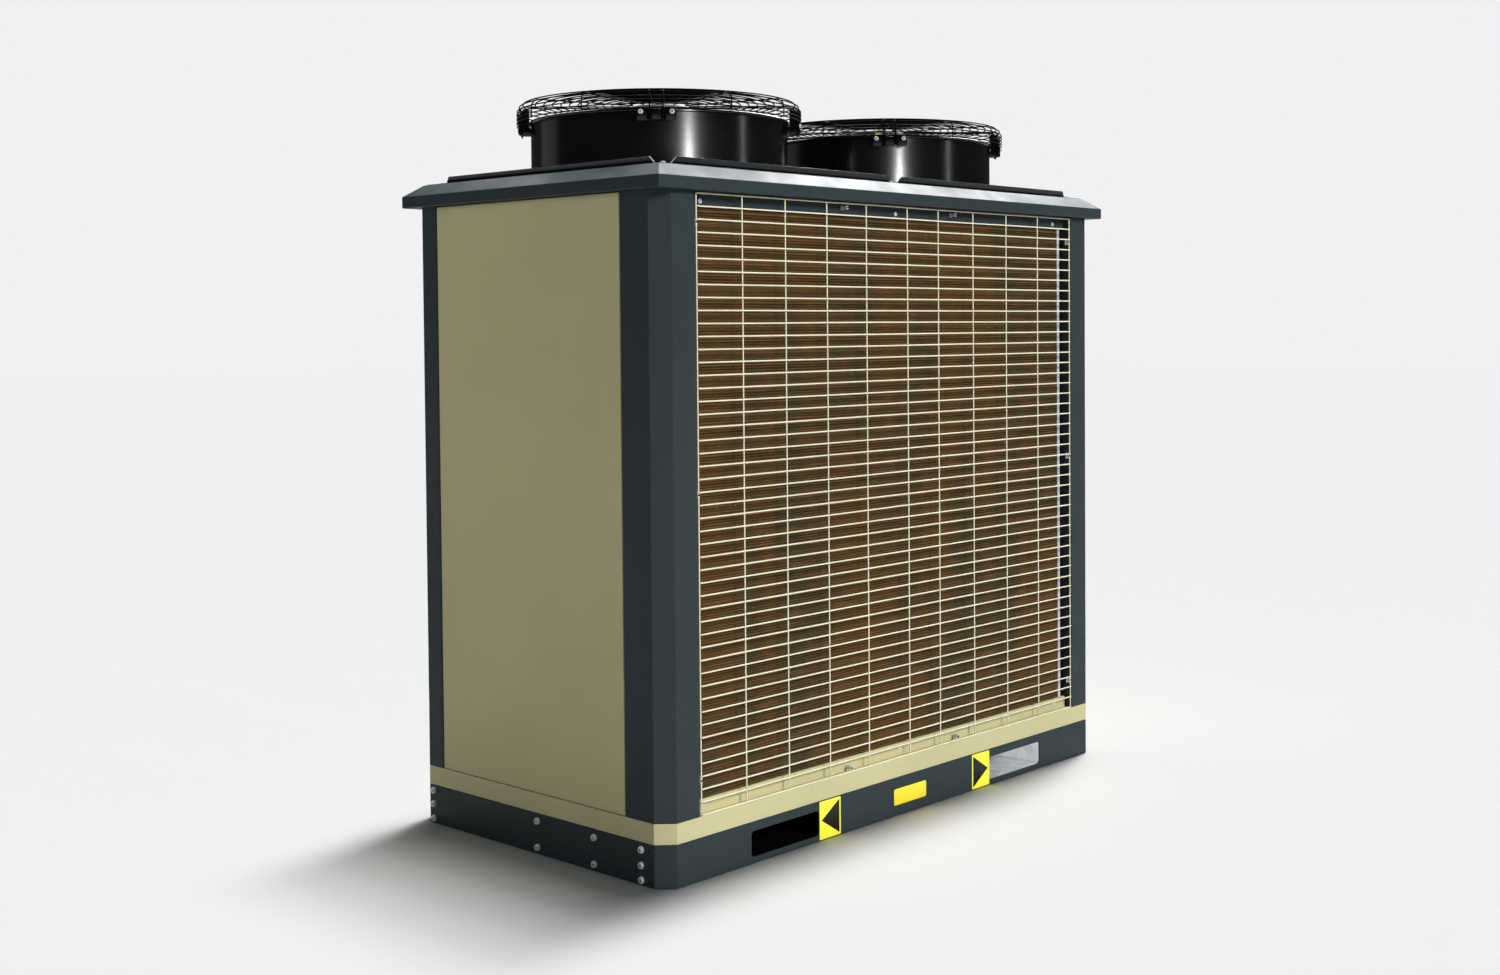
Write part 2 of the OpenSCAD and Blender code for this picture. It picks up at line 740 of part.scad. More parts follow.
module fan_motor_left() color(galvanised) translate([-fan_x, 0, 0]) fan_motor();

module fan_motor_right() color(galvanised) translate([fan_x, 0, 0]) fan_motor();

module blade() {
    root_r = rotor_r - 6;
    blade_t = 4;
    intersection() {
        translate([0, 0, blade_z]) rotate([blade_tilt, 0, 0]) translate([0, 0, -blade_t / 2])
            linear_extrude(blade_t) polygon([
                [root_r, -62], [root_r, 62], [180, 92], [280, 112], [blade_tip_r, 122],
                [blade_tip_r, -40], [340, -70], [260, -86], [170, -80]
            ]);
        translate([0, 0, rotor_low - 60]) cylinder(h = 200, r = blade_tip_r, $fn = 128);
    }
}

module fan_impeller() {
    rotate_extrude() polygon([
        [motor_shaft_r + running_clearance, rotor_low], [rotor_r, rotor_low], [rotor_r, rotor_high],
        [rotor_bore_r, rotor_high], [rotor_bore_r, rotor_low + 16],
        [motor_shaft_r + running_clearance, rotor_low + 16]
    ]);
    for (k = [0:blade_count - 1]) rotate([0, 0, 360 * k / blade_count]) blade();
}

module fan_impeller_left() color(black_paint) translate([-fan_x, 0, 0]) fan_impeller();

module fan_impeller_right() color(black_paint) translate([fan_x, 0, 0]) fan_impeller();

// ---- Coils ----

// A finned coil as a closed hollow block of the coil's true outer size
module coil_front() color(fin_brown) difference() {
    coil_size = [coil_right - coil_left, coil_depth, coil_high - coil_low];
    coil_corner = [coil_left, -coil_face, coil_low];
    wall = [coil_wall, coil_wall, coil_wall];
    translate(coil_corner) cube(coil_size);
    translate(coil_corner + wall) cube(coil_size - 2 * wall);
}

module coil_rear() mirror([0, 1, 0]) coil_front();

module end_plate(x) {
    coil_h = coil_high - coil_low;
    translate([x, -coil_face - end_plate_t, coil_low]) {
        cube([end_plate_t, coil_depth + 2 * end_plate_t, coil_h]);
        cube([end_plate_lip, end_plate_t, coil_h]);
    }
}

module coil_end_plates() color(galvanised) for (turn = [0, 1]) mirror([0, turn, 0]) {
    end_plate(coil_right);
    end_plate(coil_left - end_plate_t);
}

// A header pipe with the feeders that join it to the coil
module header(x, y, r, feeders) {
    header_low = 240;
    header_high = 1820;
    step = (header_high - header_low) / feeders;
    translate([x, y, header_low]) cylinder(h = header_high - header_low, r = r);
    for (k = [0:feeders - 1])
        bar_x(coil_right + end_plate_t, x, y, header_low + (k + 0.5) * step, 5);
}

module coil_headers() color(copper) for (turn = [0, 1]) mirror([0, turn, 0]) {
    header(header_x, -header_y, header_r, 8);
    header(liquid_header_x, -liquid_header_y, liquid_header_r, 8);
}

// The guard's flat net of level and upright wires, with its windows cut out
module wire_net() {
    last = len(upright_x) - 1;
    net_h = wire_rows * wire_pitch;
    difference() {
        translate([upright_x[0] - wire_d / 2, top_wire - net_h - wire_d / 2])
            square([upright_x[last] - upright_x[0] + wire_d, net_h + wire_d]);
        for (i = [0:last - 1]) for (row = [1:wire_rows])
            translate([upright_x[i] + wire_d / 2, top_wire - row * wire_pitch + wire_d / 2])
                square([upright_x[i + 1] - upright_x[i] - wire_d, wire_pitch - wire_d]);
    }
}

module coil_guard_front() color(cream_wire) stand_up(-half_w - wire_d / 2, wire_d) wire_net();

module coil_guard_rear() mirror([0, 1, 0]) coil_guard_front();

// Clips between a coil guard and the metal behind it
module guard_clips() color(galvanised) for (turn = [0, 1]) mirror([0, turn, 0]) {
    side_clip = [14, 12, 22];
    clip_y = -half_w + wire_d / 2;
    clip_depth = half_w - wire_d / 2 - screen_face - band_t;
    for (x = clip_low_x) for (z = clip_level_z) translate([x, clip_y, z]) cube([16, clip_depth, 13]);
    for (x = [-side_x, side_x - side_clip[0]]) for (z = clip_side_z)
        translate([x, clip_y, z]) cube(side_clip);
}

// A screw pointing down with a head of [radius, height], the underside of its head at the origin
module pan_screw(head) {
    cylinder(h = head[1], r = head[0]);
    translate([0, 0, -screw_l]) cylinder(h = screw_l + slack, r = screw_r);
}

module cabinet_screws() color(bright_zinc) {
    for (turn = [0, 1]) mirror([0, turn, 0]) {
        for (x = rail_screw_x)
            translate([x, -screen_face - sheet_t, rail_screw_z]) rotate([90, 0, 0])
                pan_screw(cabinet_screw_head);
        for (x = sill_screw_x)
            translate([x, -screen_face - band_t, sill_screw_z]) rotate([90, 0, 0])
                pan_screw(cabinet_screw_head);
        for (x = [-rim_x + deck_screw_in, deck_split, rim_x - deck_screw_in])
            translate([x, -rim_y + deck_screw_in, deck_top]) pan_screw(deck_screw_head);
    }
    at_brackets() for (y = [-bracket_bolt, bracket_bolt]) {
        bar_x(guard_r - bar - 14, guard_r - bar, y, bracket_bolt_z, bracket_bolt_r);
        bar_x(guard_r - bar - 1, guard_r + 1, y, bracket_bolt_z, bracket_head_r);
    }
}

// ---- Refrigeration parts ----

module compressor(y) translate([compressor_x, y, 0]) {
    shoulder = [18, 50];
    crown_in = 55;
    sump = [25, 30];
    terminal_box = [70, 70, 90];
    terminal_at = [60, -terminal_box[1] / 2, 400];
    rotate_extrude() polygon([
        [0, compressor_low], [compressor_r - sump[0], compressor_low],
        [compressor_r, compressor_low + sump[1]], [compressor_r, compressor_high - shoulder[1]],
        [compressor_r - shoulder[0], compressor_high - shoulder[0]],
        [compressor_r - crown_in, compressor_high], [0, compressor_high]
    ]);
    translate([-foot_plate[0] / 2, -foot_plate[1] / 2, compressor_low - 5]) cube(foot_plate);
    translate(terminal_at) cube(terminal_box);
}

module compressor_front() color(black_paint) compressor(-compressor_y);

module compressor_rear() color(black_paint) compressor(compressor_y);

module compressor_feet() color(black_rubber) for (y = [-compressor_y, compressor_y]) {
    reach = foot_plate[0] / 2 - foot_in;
    for (dx = [-reach, reach]) for (dy = [-reach, reach])
        translate([compressor_x + dx, y + dy, base_h + pan_t])
            cylinder(h = compressor_low - 5 - base_h - pan_t, r = rubber_foot_r);
}

// The shell of the titanium water heat exchanger, lying on two saddles
module heat_exchanger() color(black_rubber) {
    saddle_h = exchanger_z - base_h - pan_t - 30;
    bar_x(exchanger_x[0], exchanger_x[1], 0, exchanger_z, exchanger_r);
    for (x = exchanger_x) bar_x(x - flange_t / 2, x + flange_t / 2, 0, exchanger_z, exchanger_r + 16);
    for (x = [exchanger_x[0] + 180, exchanger_x[1] - 220])
        translate([x, -saddle[1] / 2, base_h + pan_t]) cube([saddle[0], saddle[1], saddle_h]);
}

// A closed pressure vessel standing on end between the heights z, with a steel wall
module vessel(z, r, wall) difference() {
    cone = 22;
    rotate_extrude() polygon([
        [0, z[0]], [r - cone, z[0]], [r, z[0] + cone], [r, z[1] - cone], [r - cone, z[1]], [0, z[1]]
    ]);
    rotate_extrude() polygon([
        [0, z[0] + wall], [r - cone, z[0] + wall], [r - wall, z[0] + cone], [r - wall, z[1] - cone],
        [r - cone, z[1] - wall], [0, z[1] - wall]
    ]);
}

module suction_accumulator() color(black_paint) translate(accumulator_at) {
    foot = [30, 20, 26];
    vessel(accumulator_z, accumulator_r, 4);
    for (turn = [0, 120, 240]) rotate([0, 0, turn])
        translate([foot[0], -foot[1] / 2, base_h + pan_t]) cube(foot);
}

module filter_drier() color(label_yellow) translate(drier_at) rotate_extrude() polygon([
    [0, -drier_half], [port_r, -drier_half], [port_r, -drier_half + 20], [drier_r, -drier_half + 35],
    [drier_r, drier_half - 35], [port_r, drier_half - 20], [port_r, drier_half], [0, drier_half]
]);

module reversing_valve() color(copper) {
    pilot = [60, 40, 34];
    bar_x(valve_x[0], valve_x[1], 0, valve_z, valve_r);
    for (x = valve_ports) translate([x, 0, valve_z - port_reach]) cylinder(h = port_reach, r = port_r);
    translate([valve_ports[1], 0, valve_z]) cylinder(h = port_reach, r = port_r);
    translate([valve_ports[1] - pilot[0] / 2, 20, valve_z - 15]) cube(pilot);
}

// Discharge lines to the valve's top, then the lines from its ports to the exchanger, to the
// accumulator and to the coils' header, then the liquid line on both sides of the drier
module refrigerant_pipes() color(copper) {
    mid = valve_ports[1];
    x0 = compressor_x;
    y0 = compressor_y;
    start_z = compressor_high - 5;
    swept_pipe([[x0, -y0, start_z], [x0, -y0, hot_line_z], [mid, -y0, hot_line_z], [mid, 0, hot_line_z],
                [mid, 0, valve_top]], hot_line_r, 22);
    swept_pipe([[x0, y0, start_z], [x0, y0, hot_line_z], [mid, y0, hot_line_z], [mid, 4, hot_line_z]],
               hot_line_r, 22);
    swept_pipe([[valve_ports[0], 0, valve_low], [valve_ports[0], 0, gas_line_z[0]], [300, 0, gas_line_z[0]],
                [300, 0, exchanger_z + exchanger_r - 3]], line_r, 26);
    swept_pipe([[mid, 0, valve_low], [mid, 0, gas_line_z[1]], [mid, -100, gas_line_z[1]],
                [accumulator_at[0], -100, gas_line_z[1]],
                [accumulator_at[0], accumulator_at[1], gas_line_z[1]],
                [accumulator_at[0], accumulator_at[1], accumulator_z[1] - 5]], line_r, 24);
    swept_pipe([[valve_ports[2], 0, valve_low], [valve_ports[2], 0, gas_line_z[2]],
                [header_x, 0, gas_line_z[2]], [header_x, -448, gas_line_z[2]]], line_r, 26);
    swept_pipe([[drier_at[0], drier_at[1], drier_at[2] + drier_half - 2],
                [drier_at[0], drier_at[1], liquid_line_z[1]], [780, drier_at[1], liquid_line_z[1]],
                [780, 420, liquid_line_z[1]], [liquid_header_x, 420, liquid_line_z[1]],
                [liquid_header_x, 485, liquid_line_z[1]]], liquid_line_r, 20);
    swept_pipe([[drier_at[0], drier_at[1], drier_at[2] - drier_half + 2],
                [drier_at[0], drier_at[1], liquid_line_z[0]], [240, drier_at[1], liquid_line_z[0]],
                [240, 85, liquid_line_z[0]]], liquid_line_r, 16);
}

// Water pipes from the exchanger to the threaded stubs on the service end
module water_pipes() color(black_rubber) {
    for (port = [water_in, water_out]) {
        bar_x(half_l - 25, half_l + stub_reach, port[0], port[1], water_stub_r);
        bar_x(half_l - 60, half_l - 24, port[0], port[1], water_stub_r + 10);
    }
    swept_pipe([[half_l - 50, water_in[0], water_in[1]], [water_turn_x[0], water_in[0], water_in[1]],
                [water_turn_x[0], -340, water_in[1]], [-560, -340, water_in[1]], [-560, 0, water_in[1]],
                [-560, 0, exchanger_z + exchanger_r - 10]], water_pipe_r, 60, 12);
    swept_pipe([[half_l - 50, water_out[0], water_out[1]], [water_turn_x[1], water_out[0], water_out[1]],
                [water_turn_x[1], -350, water_out[1]], [160, -350, water_out[1]], [160, -95, water_out[1]]],
               water_pipe_r, 60, 12);
}

module control_box() color(galvanised) {
    wall = [box_wall, box_wall, box_wall];
    difference() {
        translate(box_low) cube(box_size);
        translate(box_low + wall) cube(box_size - 2 * wall);
    }
}

// The isolator's body, held behind the connection panel
module isolator_switch() color(black_rubber) difference() {
    body = [72, 70, 70];
    translate([half_l - 75, isolator_at[0] - body[1] / 2, isolator_at[1] - body[2] / 2]) cube(body);
    bar_x(half_l - 40, half_l, isolator_at[0], isolator_at[1], isolator_shaft_r + running_clearance);
}

module isolator_handle() color(signal_red) {
    grip = [14, 12, 48];
    bar_x(half_l - 35, half_l + 1, isolator_at[0], isolator_at[1], isolator_shaft_r);
    bar_x(half_l, half_l + 6, isolator_at[0], isolator_at[1], grip[2] / 2);
    translate([half_l + 5, isolator_at[0] - grip[1] / 2, isolator_at[1] - grip[2] / 2]) cube(grip);
}

// Plain yellow marking plates on both long sides of the base
module labels() color(label_yellow) for (turn = [0, 180]) rotate([0, 0, turn]) {
    plate_t = 0.6;
    arrow_plate = [96, 114];
    centre_plate = [162, 51];
    plate_gap = 2;
    for (x = [pocket_near - arrow_plate[0] - plate_gap, -pocket_near + plate_gap])
        stand_up(-half_w - plate_t, plate_t) translate([x, 3]) square(arrow_plate);
    stand_up(-half_w - plate_t, plate_t) translate([-76, 33])
        polygon(round_rect(centre_plate[0], centre_plate[1], 6));
}

base_rail_front();
base_rail_rear();
base_rail_left();
base_rail_right();
base_beams();
fork_tunnel_left();
fork_tunnel_right();
base_pan();
base_bolts();
kick_band_front();
kick_band_rear();
kick_band_left();
kick_band_right();
post_front_left();
post_front_right();
post_rear_left();
post_rear_right();
end_panel();
service_door();
connection_panel();
door_hinges();
door_latch();
top_rail_front();
top_rail_rear();
roof_edge_front();
roof_edge_rear();
roof_edge_left();
roof_edge_right();
fan_deck_left();
fan_deck_right();
fan_shroud_left();
fan_shroud_right();
fan_guard_left();
fan_guard_right();
guard_brackets();
fan_motor_left();
fan_motor_right();
fan_impeller_left();
fan_impeller_right();
coil_front();
coil_rear();
coil_end_plates();
coil_headers();
coil_guard_front();
coil_guard_rear();
guard_clips();
cabinet_screws();
compressor_front();
compressor_rear();
compressor_feet();
heat_exchanger();
suction_accumulator();
filter_drier();
reversing_valve();
refrigerant_pipes();
water_pipes();
control_box();
isolator_switch();
isolator_handle();
labels();
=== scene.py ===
import math

import bmesh
import bpy
from mathutils import Matrix, Vector, noise


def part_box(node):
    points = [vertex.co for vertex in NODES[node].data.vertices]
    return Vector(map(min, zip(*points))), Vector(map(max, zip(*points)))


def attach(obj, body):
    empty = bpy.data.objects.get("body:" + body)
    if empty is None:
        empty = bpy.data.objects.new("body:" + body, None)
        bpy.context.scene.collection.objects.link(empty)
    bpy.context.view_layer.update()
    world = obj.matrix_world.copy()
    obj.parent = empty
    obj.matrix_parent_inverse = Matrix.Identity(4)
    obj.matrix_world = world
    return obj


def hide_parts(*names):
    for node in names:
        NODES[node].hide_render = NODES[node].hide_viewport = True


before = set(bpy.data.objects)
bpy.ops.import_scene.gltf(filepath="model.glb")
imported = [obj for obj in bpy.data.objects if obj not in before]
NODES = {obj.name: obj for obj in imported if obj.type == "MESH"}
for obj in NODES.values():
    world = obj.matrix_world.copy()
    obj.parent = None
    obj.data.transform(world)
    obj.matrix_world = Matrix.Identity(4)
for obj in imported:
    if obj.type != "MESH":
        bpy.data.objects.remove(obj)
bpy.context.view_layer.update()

# Looks of a twin-fan commercial heat pump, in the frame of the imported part. Its pieces are
# laid out in millimetres. The camera, the patterns of the materials and the lights are in metres.

MM = 0.001
UP = Vector((0, 0, 1))


def box(node):
    """The lowest and highest corners of a CAD node, in millimetres."""
    return [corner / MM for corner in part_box(node)]


def low(node):
    return box(node)[0]


def high(node):
    return box(node)[1]


# ---- Measures, in millimetres, from the frame where it holds them ----

HALF_L = -low("base_rail_left").x
HALF_W = -low("base_rail_front").y
CORNER_Y = high("base_rail_left").y
CORNER = HALF_W - CORNER_Y
RAIL_TOP = high("base_rail_left").z
BAND_TOP = low("post_front_left").z
CABINET_TOP = high("post_front_left").z
SIDE_X = -high("post_front_left").x
POST_SHEET = 3

ROOF_L = -low("roof_edge_left").x
ROOF_W = -low("roof_edge_front").y
ROOF_TOP = high("roof_edge_front").z
ROOF_SHEET = 2
DECK_TOP = ROOF_TOP + ROOF_SHEET

# The fans: places of their middles, the shroud, the guard's wires and brackets, the rotor
FAN_X = (low("fan_shroud_right").x + high("fan_shroud_right").x) / 2
FANS = {"left": Matrix.Translation((-FAN_X, 0, 0)), "right": Matrix.Translation((FAN_X, 0, 0))}
SHROUD_TOP = high("fan_shroud_left").z
SHROUD_FOOT_R = high("fan_shroud_right").x - FAN_X
SHROUD_R = 395
GUARD_TOP = high("fan_guard_left").z
GUARD_R = 432.7
GUARD_BEND = 26
GUARD_WIRE_R = 2.15
GUARD_WIRE_TOP = GUARD_TOP - 3 * GUARD_WIRE_R
RING_OUT = 2 * GUARD_WIRE_R - 0.05
GUARD_WIRES = 12
FIRST_WIRE = 45
DOUBLE_WIRE = 19.5
BRACKET_FACE = 426.4
BRACKET_SHEET = 3
ROTOR_LOW, ROTOR_HIGH, ROTOR_R = 2060, 2175, 92
BLADE_Z = 2096

# The service end: the latch's height, the (y, z) of each water stub, the (y, z, radius) of each cable entry
LATCH_Z = 1230
WATER_STUBS = ((-240, 440), (-240, 290))
WATER_STUB_R = 29.8
CABLE_ENTRIES = ((300, 260, 16), (230, 260, 10))
PANEL_FACE = HALF_L - 0.5

REAR = Matrix.Diagonal((1, -1, 1, 1))


# ---- Camera ----

def make_camera():
    yaw, pitch, roll = (math.radians(a) for a in (47.493, -1.778, -0.448))
    forward = Vector((math.sin(yaw) * math.cos(pitch), math.cos(yaw) * math.cos(pitch), math.sin(pitch)))
    right = forward.cross(UP).normalized()
    over = right.cross(forward)
    side = right * math.cos(roll) + over * math.sin(roll)
    top = over * math.cos(roll) - right * math.sin(roll)
    data = bpy.data.cameras.new("camera")
    data.lens = 42.51
    data.sensor_width = 36
    data.shift_x = -0.0183
    data.shift_y = -0.0706
    camera = bpy.data.objects.new("camera", data)
    turn = Matrix((side, top, -forward)).transposed().to_4x4()
    camera.matrix_world = Matrix.Translation((-4.3452, -3.9827, 1.5272)) @ turn
    bpy.context.scene.collection.objects.link(camera)
    bpy.context.scene.camera = camera


# ---- Materials ----

FIN_LINE_PITCH = 0.0084


def new_node(tree, kind, **sockets):
    """A new shader node. Each socket's value is a constant or another node's output."""
    node = tree.nodes.new("ShaderNode" + kind)
    for name, value in sockets.items():
        socket = node.inputs[name.replace("_", " ")]
        if isinstance(value, bpy.types.NodeSocket):
            tree.links.new(value, socket)
        else:
            socket.default_value = value
    return node


class Finish:
    """A material on the Principled shader, with its patterns laid out in the frame's metres."""

    def __init__(self, name, colour, roughness, metallic=0.0, **sockets):
        self.material = bpy.data.materials.new(name)
        self.material.use_nodes = True
        self.tree = self.material.node_tree
        self.shader = self.tree.nodes["Principled BSDF"]
        self.place = self.node("TexCoord").outputs["Object"]
        self.base = (*colour, 1.0)
        self.colour = None
        self.normal = None
        self.shader.inputs["Base Color"].default_value = self.base
        self.shader.inputs["Roughness"].default_value = roughness
        self.shader.inputs["Metallic"].default_value = metallic
        for socket, value in sockets.items():
            self.shader.inputs[socket.replace("_", " ").title().replace("Ior", "IOR")].default_value = value

    def node(self, kind, **sockets):
        return new_node(self.tree, kind, **sockets)

    def stretched(self, stretch):
        return self.node("Mapping", Scale=stretch, Vector=self.place).outputs["Vector"]

    def noise(self, scale, detail=3.0, stretch=(1, 1, 1)):
        vector = self.stretched(stretch)
        return self.node("TexNoise", Scale=scale, Detail=detail, Vector=vector).outputs["Fac"]

    def cells(self, scale, output="Distance", stretch=(1, 1, 1)):
        return self.node("TexVoronoi", Scale=scale, Vector=self.stretched(stretch)).outputs[output]

    def remap(self, value, start, end, to_start=0.0, to_end=1.0):
        limits = {"From_Min": start, "From_Max": end, "To_Min": to_start, "To_Max": to_end}
        return self.node("MapRange", Value=value, **limits).outputs["Result"]

    def times(self, a, b):
        node = self.node("Math")
        node.operation = "MULTIPLY"
        for factor, socket in zip((a, b), node.inputs):
            self.tree.links.new(factor, socket)
        return node.outputs[0]

    def ridges(self, pitch):
        """Level lines, a pitch apart in height."""
        unevenness = {"Distortion": 0.5, "Detail": 1.0, "Detail_Scale": 0.4}
        node = self.node("TexWave", Scale=math.pi / (10 * pitch), Vector=self.place, **unevenness)
        node.bands_direction = "Z"
        return node.outputs["Fac"]

    def height_above(self):
        return self.node("SeparateXYZ", Vector=self.place).outputs["Z"]

    def tint(self, mask, colour):
        """Turns the base colour into another one where the mask is 1."""
        node = self.node("Mix")
        node.data_type = "RGBA"
        factor, first, second = node.inputs[0], node.inputs[6], node.inputs[7]
        first.default_value = self.base
        if self.colour:
            self.tree.links.new(self.colour, first)
        second.default_value = (*colour, 1.0)
        self.tree.links.new(mask, factor)
        self.colour = node.outputs[2]
        self.tree.links.new(self.colour, self.shader.inputs["Base Color"])
        return self

    def roughen(self, value, smooth, rough):
        self.tree.links.new(self.remap(value, 0.25, 0.75, smooth, rough), self.shader.inputs["Roughness"])
        return self

    def emboss(self, value, depth):
        """Raises the surface by up to depth metres where the value is 1."""
        below = {"Normal": self.normal} if self.normal else {}
        self.normal = self.node("Bump", Distance=depth, Height=value, **below).outputs["Normal"]
        self.tree.links.new(self.normal, self.shader.inputs["Normal"])
        return self


def shade(colour, factor):
    return tuple(c * factor for c in colour)


def powder_coat(name, colour, roughness, peel, dust, sheen=0.2, uneven=1.0):
    """Sprayed paint: a faint cloudy shade, orange peel, fine dust and a few rub marks."""
    paint = Finish(name, colour, roughness, specular_ior_level=sheen)
    paint.tint(paint.remap(paint.noise(1.7, 2), 0.3, 0.7), shade(colour, 0.9))
    paint.tint(paint.remap(paint.noise(230, 5), 0.6, 0.8, 0, 0.35), dust)
    paint.tint(paint.remap(paint.noise(34, 6, (1, 1, 0.15)), 0.66, 0.8, 0, 0.16), dust)
    paint.roughen(paint.noise(11, 5), roughness - 0.06 * uneven, roughness + 0.08 * uneven)
    paint.emboss(paint.noise(360, 2), peel)
    paint.emboss(paint.noise(1500, 2), peel / 5)
    return paint.material


def bare_metal(name, colour, roughness, grain, spangle=0.0, metallic=1.0):
    metal = Finish(name, colour, roughness, metallic)
    if spangle:
        cell = metal.cells(spangle, "Color")
        metal.tint(metal.remap(cell, 0.1, 0.9, 0.0, 0.55), shade(colour, 0.6))
        metal.roughen(cell, roughness - 0.12, roughness + 0.15)
    else:
        metal.tint(metal.remap(metal.noise(60, 4), 0.35, 0.7), shade(colour, 0.78))
        metal.roughen(metal.noise(90, 4), roughness - 0.08, roughness + 0.1)
    metal.tint(metal.remap(metal.noise(14, 6), 0.6, 0.78, 0, 0.3), shade(colour, 0.45))
    metal.emboss(metal.noise(grain, 3), 0.00003)
    return metal.material


def moulded(name, colour, roughness, grain=900, depth=0.00003):
    plastic = Finish(name, colour, roughness)
    plastic.tint(plastic.remap(plastic.noise(20, 4), 0.35, 0.7), shade(colour, 0.8))
    plastic.tint(plastic.remap(plastic.noise(260, 5), 0.62, 0.8, 0, 0.25), shade(colour, 1.9))
    plastic.roughen(plastic.noise(40, 4), roughness - 0.07, roughness + 0.1)
    plastic.emboss(plastic.noise(grain, 2), depth)
    return plastic.material


def finned_metal():
    """Coated coil fins: brown, with painted shade darkening the grooves along the tube rows, patched from
    column to column, with pale lint.
    """
    fins = Finish("coil_fin", (0.124, 0.067, 0.022), 0.55, 0.0, specular_ior_level=0.05)
    fins.tint(fins.remap(fins.noise(1, 3, (5.5, 0, 0.9)), 0.4, 0.62), (0.072, 0.054, 0.027))
    fins.tint(fins.remap(fins.noise(1, 3, (9, 0, 60)), 0.5, 0.7, 0, 0.75), (0.190, 0.088, 0.040))
    fins.tint(fins.remap(fins.noise(1, 3, (16, 0, 34)), 0.52, 0.72, 0, 0.7), (0.105, 0.092, 0.034))
    # Painted shade: the grooves that the bump below sinks along the tube rows are darkened in the colour.
    fins.tint(fins.remap(fins.ridges(FIN_LINE_PITCH), 0.35, 0.75, 0, 0.62), (0.030, 0.022, 0.013))
    fins.tint(fins.remap(fins.noise(1, 2, (420, 0, 6)), 0.5, 0.72, 0, 0.35), (0.06, 0.04, 0.02))
    specks = fins.remap(fins.cells(48, stretch=(1, 0.1, 0.55)), 0.03, 0.055, 1, 0)
    few = fins.remap(fins.noise(5, 3), 0.58, 0.64)
    fins.tint(fins.times(specks, few), (0.62, 0.52, 0.38))
    fins.roughen(fins.noise(60, 4, (1, 0, 4)), 0.46, 0.62)
    fins.emboss(fins.ridges(FIN_LINE_PITCH), -0.0012)
    return fins.material


def foil(name, colour, spread, limits, second, dust):
    """A label's film: a second shade where the spread is high between the limits, and fine dust."""
    film = Finish(name, colour, 0.34)
    film.tint(film.remap(spread(film), *limits), second)
    film.tint(film.remap(film.noise(300, 5), 0.64, 0.8, 0, 0.25), dust)
    film.roughen(film.noise(80, 3), 0.28, 0.44)
    film.emboss(film.noise(500, 2), 0.00003)
    return film.material


def lemon_foil():
    lemon = (0.93, 0.95, 0.055)
    darker, dust = shade(lemon, 0.92), (0.5, 0.48, 0.1)
    return foil("label_yellow", lemon, lambda film: film.noise(30, 4), (0.4, 0.7), darker, dust)


def amber_foil():
    amber, lighter = (0.90, 0.70, 0.025), (0.92, 0.76, 0.05)
    return foil("label_amber", amber, Finish.height_above, (0.035, 0.085), lighter, (0.5, 0.4, 0.1))


MATERIALS = {
    "dark_paint": powder_coat("dark_paint", (0.029, 0.042, 0.046), 0.46, 0.00006, (0.12, 0.14, 0.15)),
    "beige_paint": powder_coat("beige_paint", (0.560, 0.518, 0.290), 0.46, 0.00006, (0.66, 0.62, 0.5)),
    "black_paint": powder_coat("black_paint", (0.0026, 0.0027, 0.0029), 0.18, 0.000005, (0.012, 0.012, 0.013),
                               0.5, 0.25),
    "black_wire": powder_coat("black_wire", (0.003, 0.0031, 0.0033), 0.4, 0.00003, (0.012, 0.012, 0.013),
                              0.03),
    "cream_wire": powder_coat("cream_wire", (0.86, 0.81, 0.62), 0.3, 0.00004, (0.5, 0.45, 0.34)),
    "blade_plastic": moulded("blade_plastic", (0.012, 0.012, 0.013), 0.42),
    "latch_plastic": moulded("latch_plastic", (0.014, 0.014, 0.015), 0.38),
    "dark_plastic": moulded("dark_plastic", (0.020, 0.021, 0.023), 0.5),
    "rubber": moulded("rubber", (0.016, 0.016, 0.016), 0.72, 500, 0.00008),
    "red_plastic": moulded("red_plastic", (0.52, 0.022, 0.014), 0.34),
    "drier_paint": powder_coat("drier_paint", (0.05, 0.11, 0.30), 0.36, 0.00006, (0.3, 0.34, 0.4)),
    "motor_casting": bare_metal("motor_casting", (0.34, 0.345, 0.35), 0.5, 700, metallic=0.2),
    "galvanised": bare_metal("galvanised", (0.78, 0.79, 0.82), 0.46, 300, 30, 0.3),
    "zinc": bare_metal("zinc", (0.90, 0.91, 0.92), 0.32, 900, metallic=0.25),
    "copper": bare_metal("copper", (0.74, 0.34, 0.19), 0.34, 500),
    "coil_fin": finned_metal(),
    "label_yellow": lemon_foil(),
    "label_amber": amber_foil(),
}


# ---- Forms: (vertices, faces) of simple closed solids ----

def left_of(v):
    return Vector((-v.y, v.x))


def level(outline, z):
    return [p.to_3d() + UP * z for p in outline]


def loft(rings, closed=False):
    """The skin through rings of equally many points, capped at both ends unless it closes on itself."""
    size, count = len(rings[0]), len(rings)
    faces = []
    for i in range(count if closed else count - 1):
        a, b = i * size, (i + 1) % count * size
        faces += [(a + k, a + (k + 1) % size, b + (k + 1) % size, b + k) for k in range(size)]
    if not closed:
        faces += [tuple(range(size)), tuple(range((count - 1) * size, count * size))]
    return [v for r in rings for v in r], faces


def circle(radius, sides, start=0.0):
    turns = [start + 2 * math.pi * k / sides for k in range(sides)]
    return [Vector((radius * math.cos(t), radius * math.sin(t))) for t in turns]


def round_rect(width, height, radius, steps=5):
    points = []
    for k, (sx, sy) in enumerate(((1, 1), (-1, 1), (-1, -1), (1, -1))):
        middle = Vector((sx * (width / 2 - radius), sy * (height / 2 - radius)))
        for i in range(steps + 1):
            turn = math.pi / 2 * (k + i / steps)
            points.append(middle + radius * Vector((math.cos(turn), math.sin(turn))))
    return points


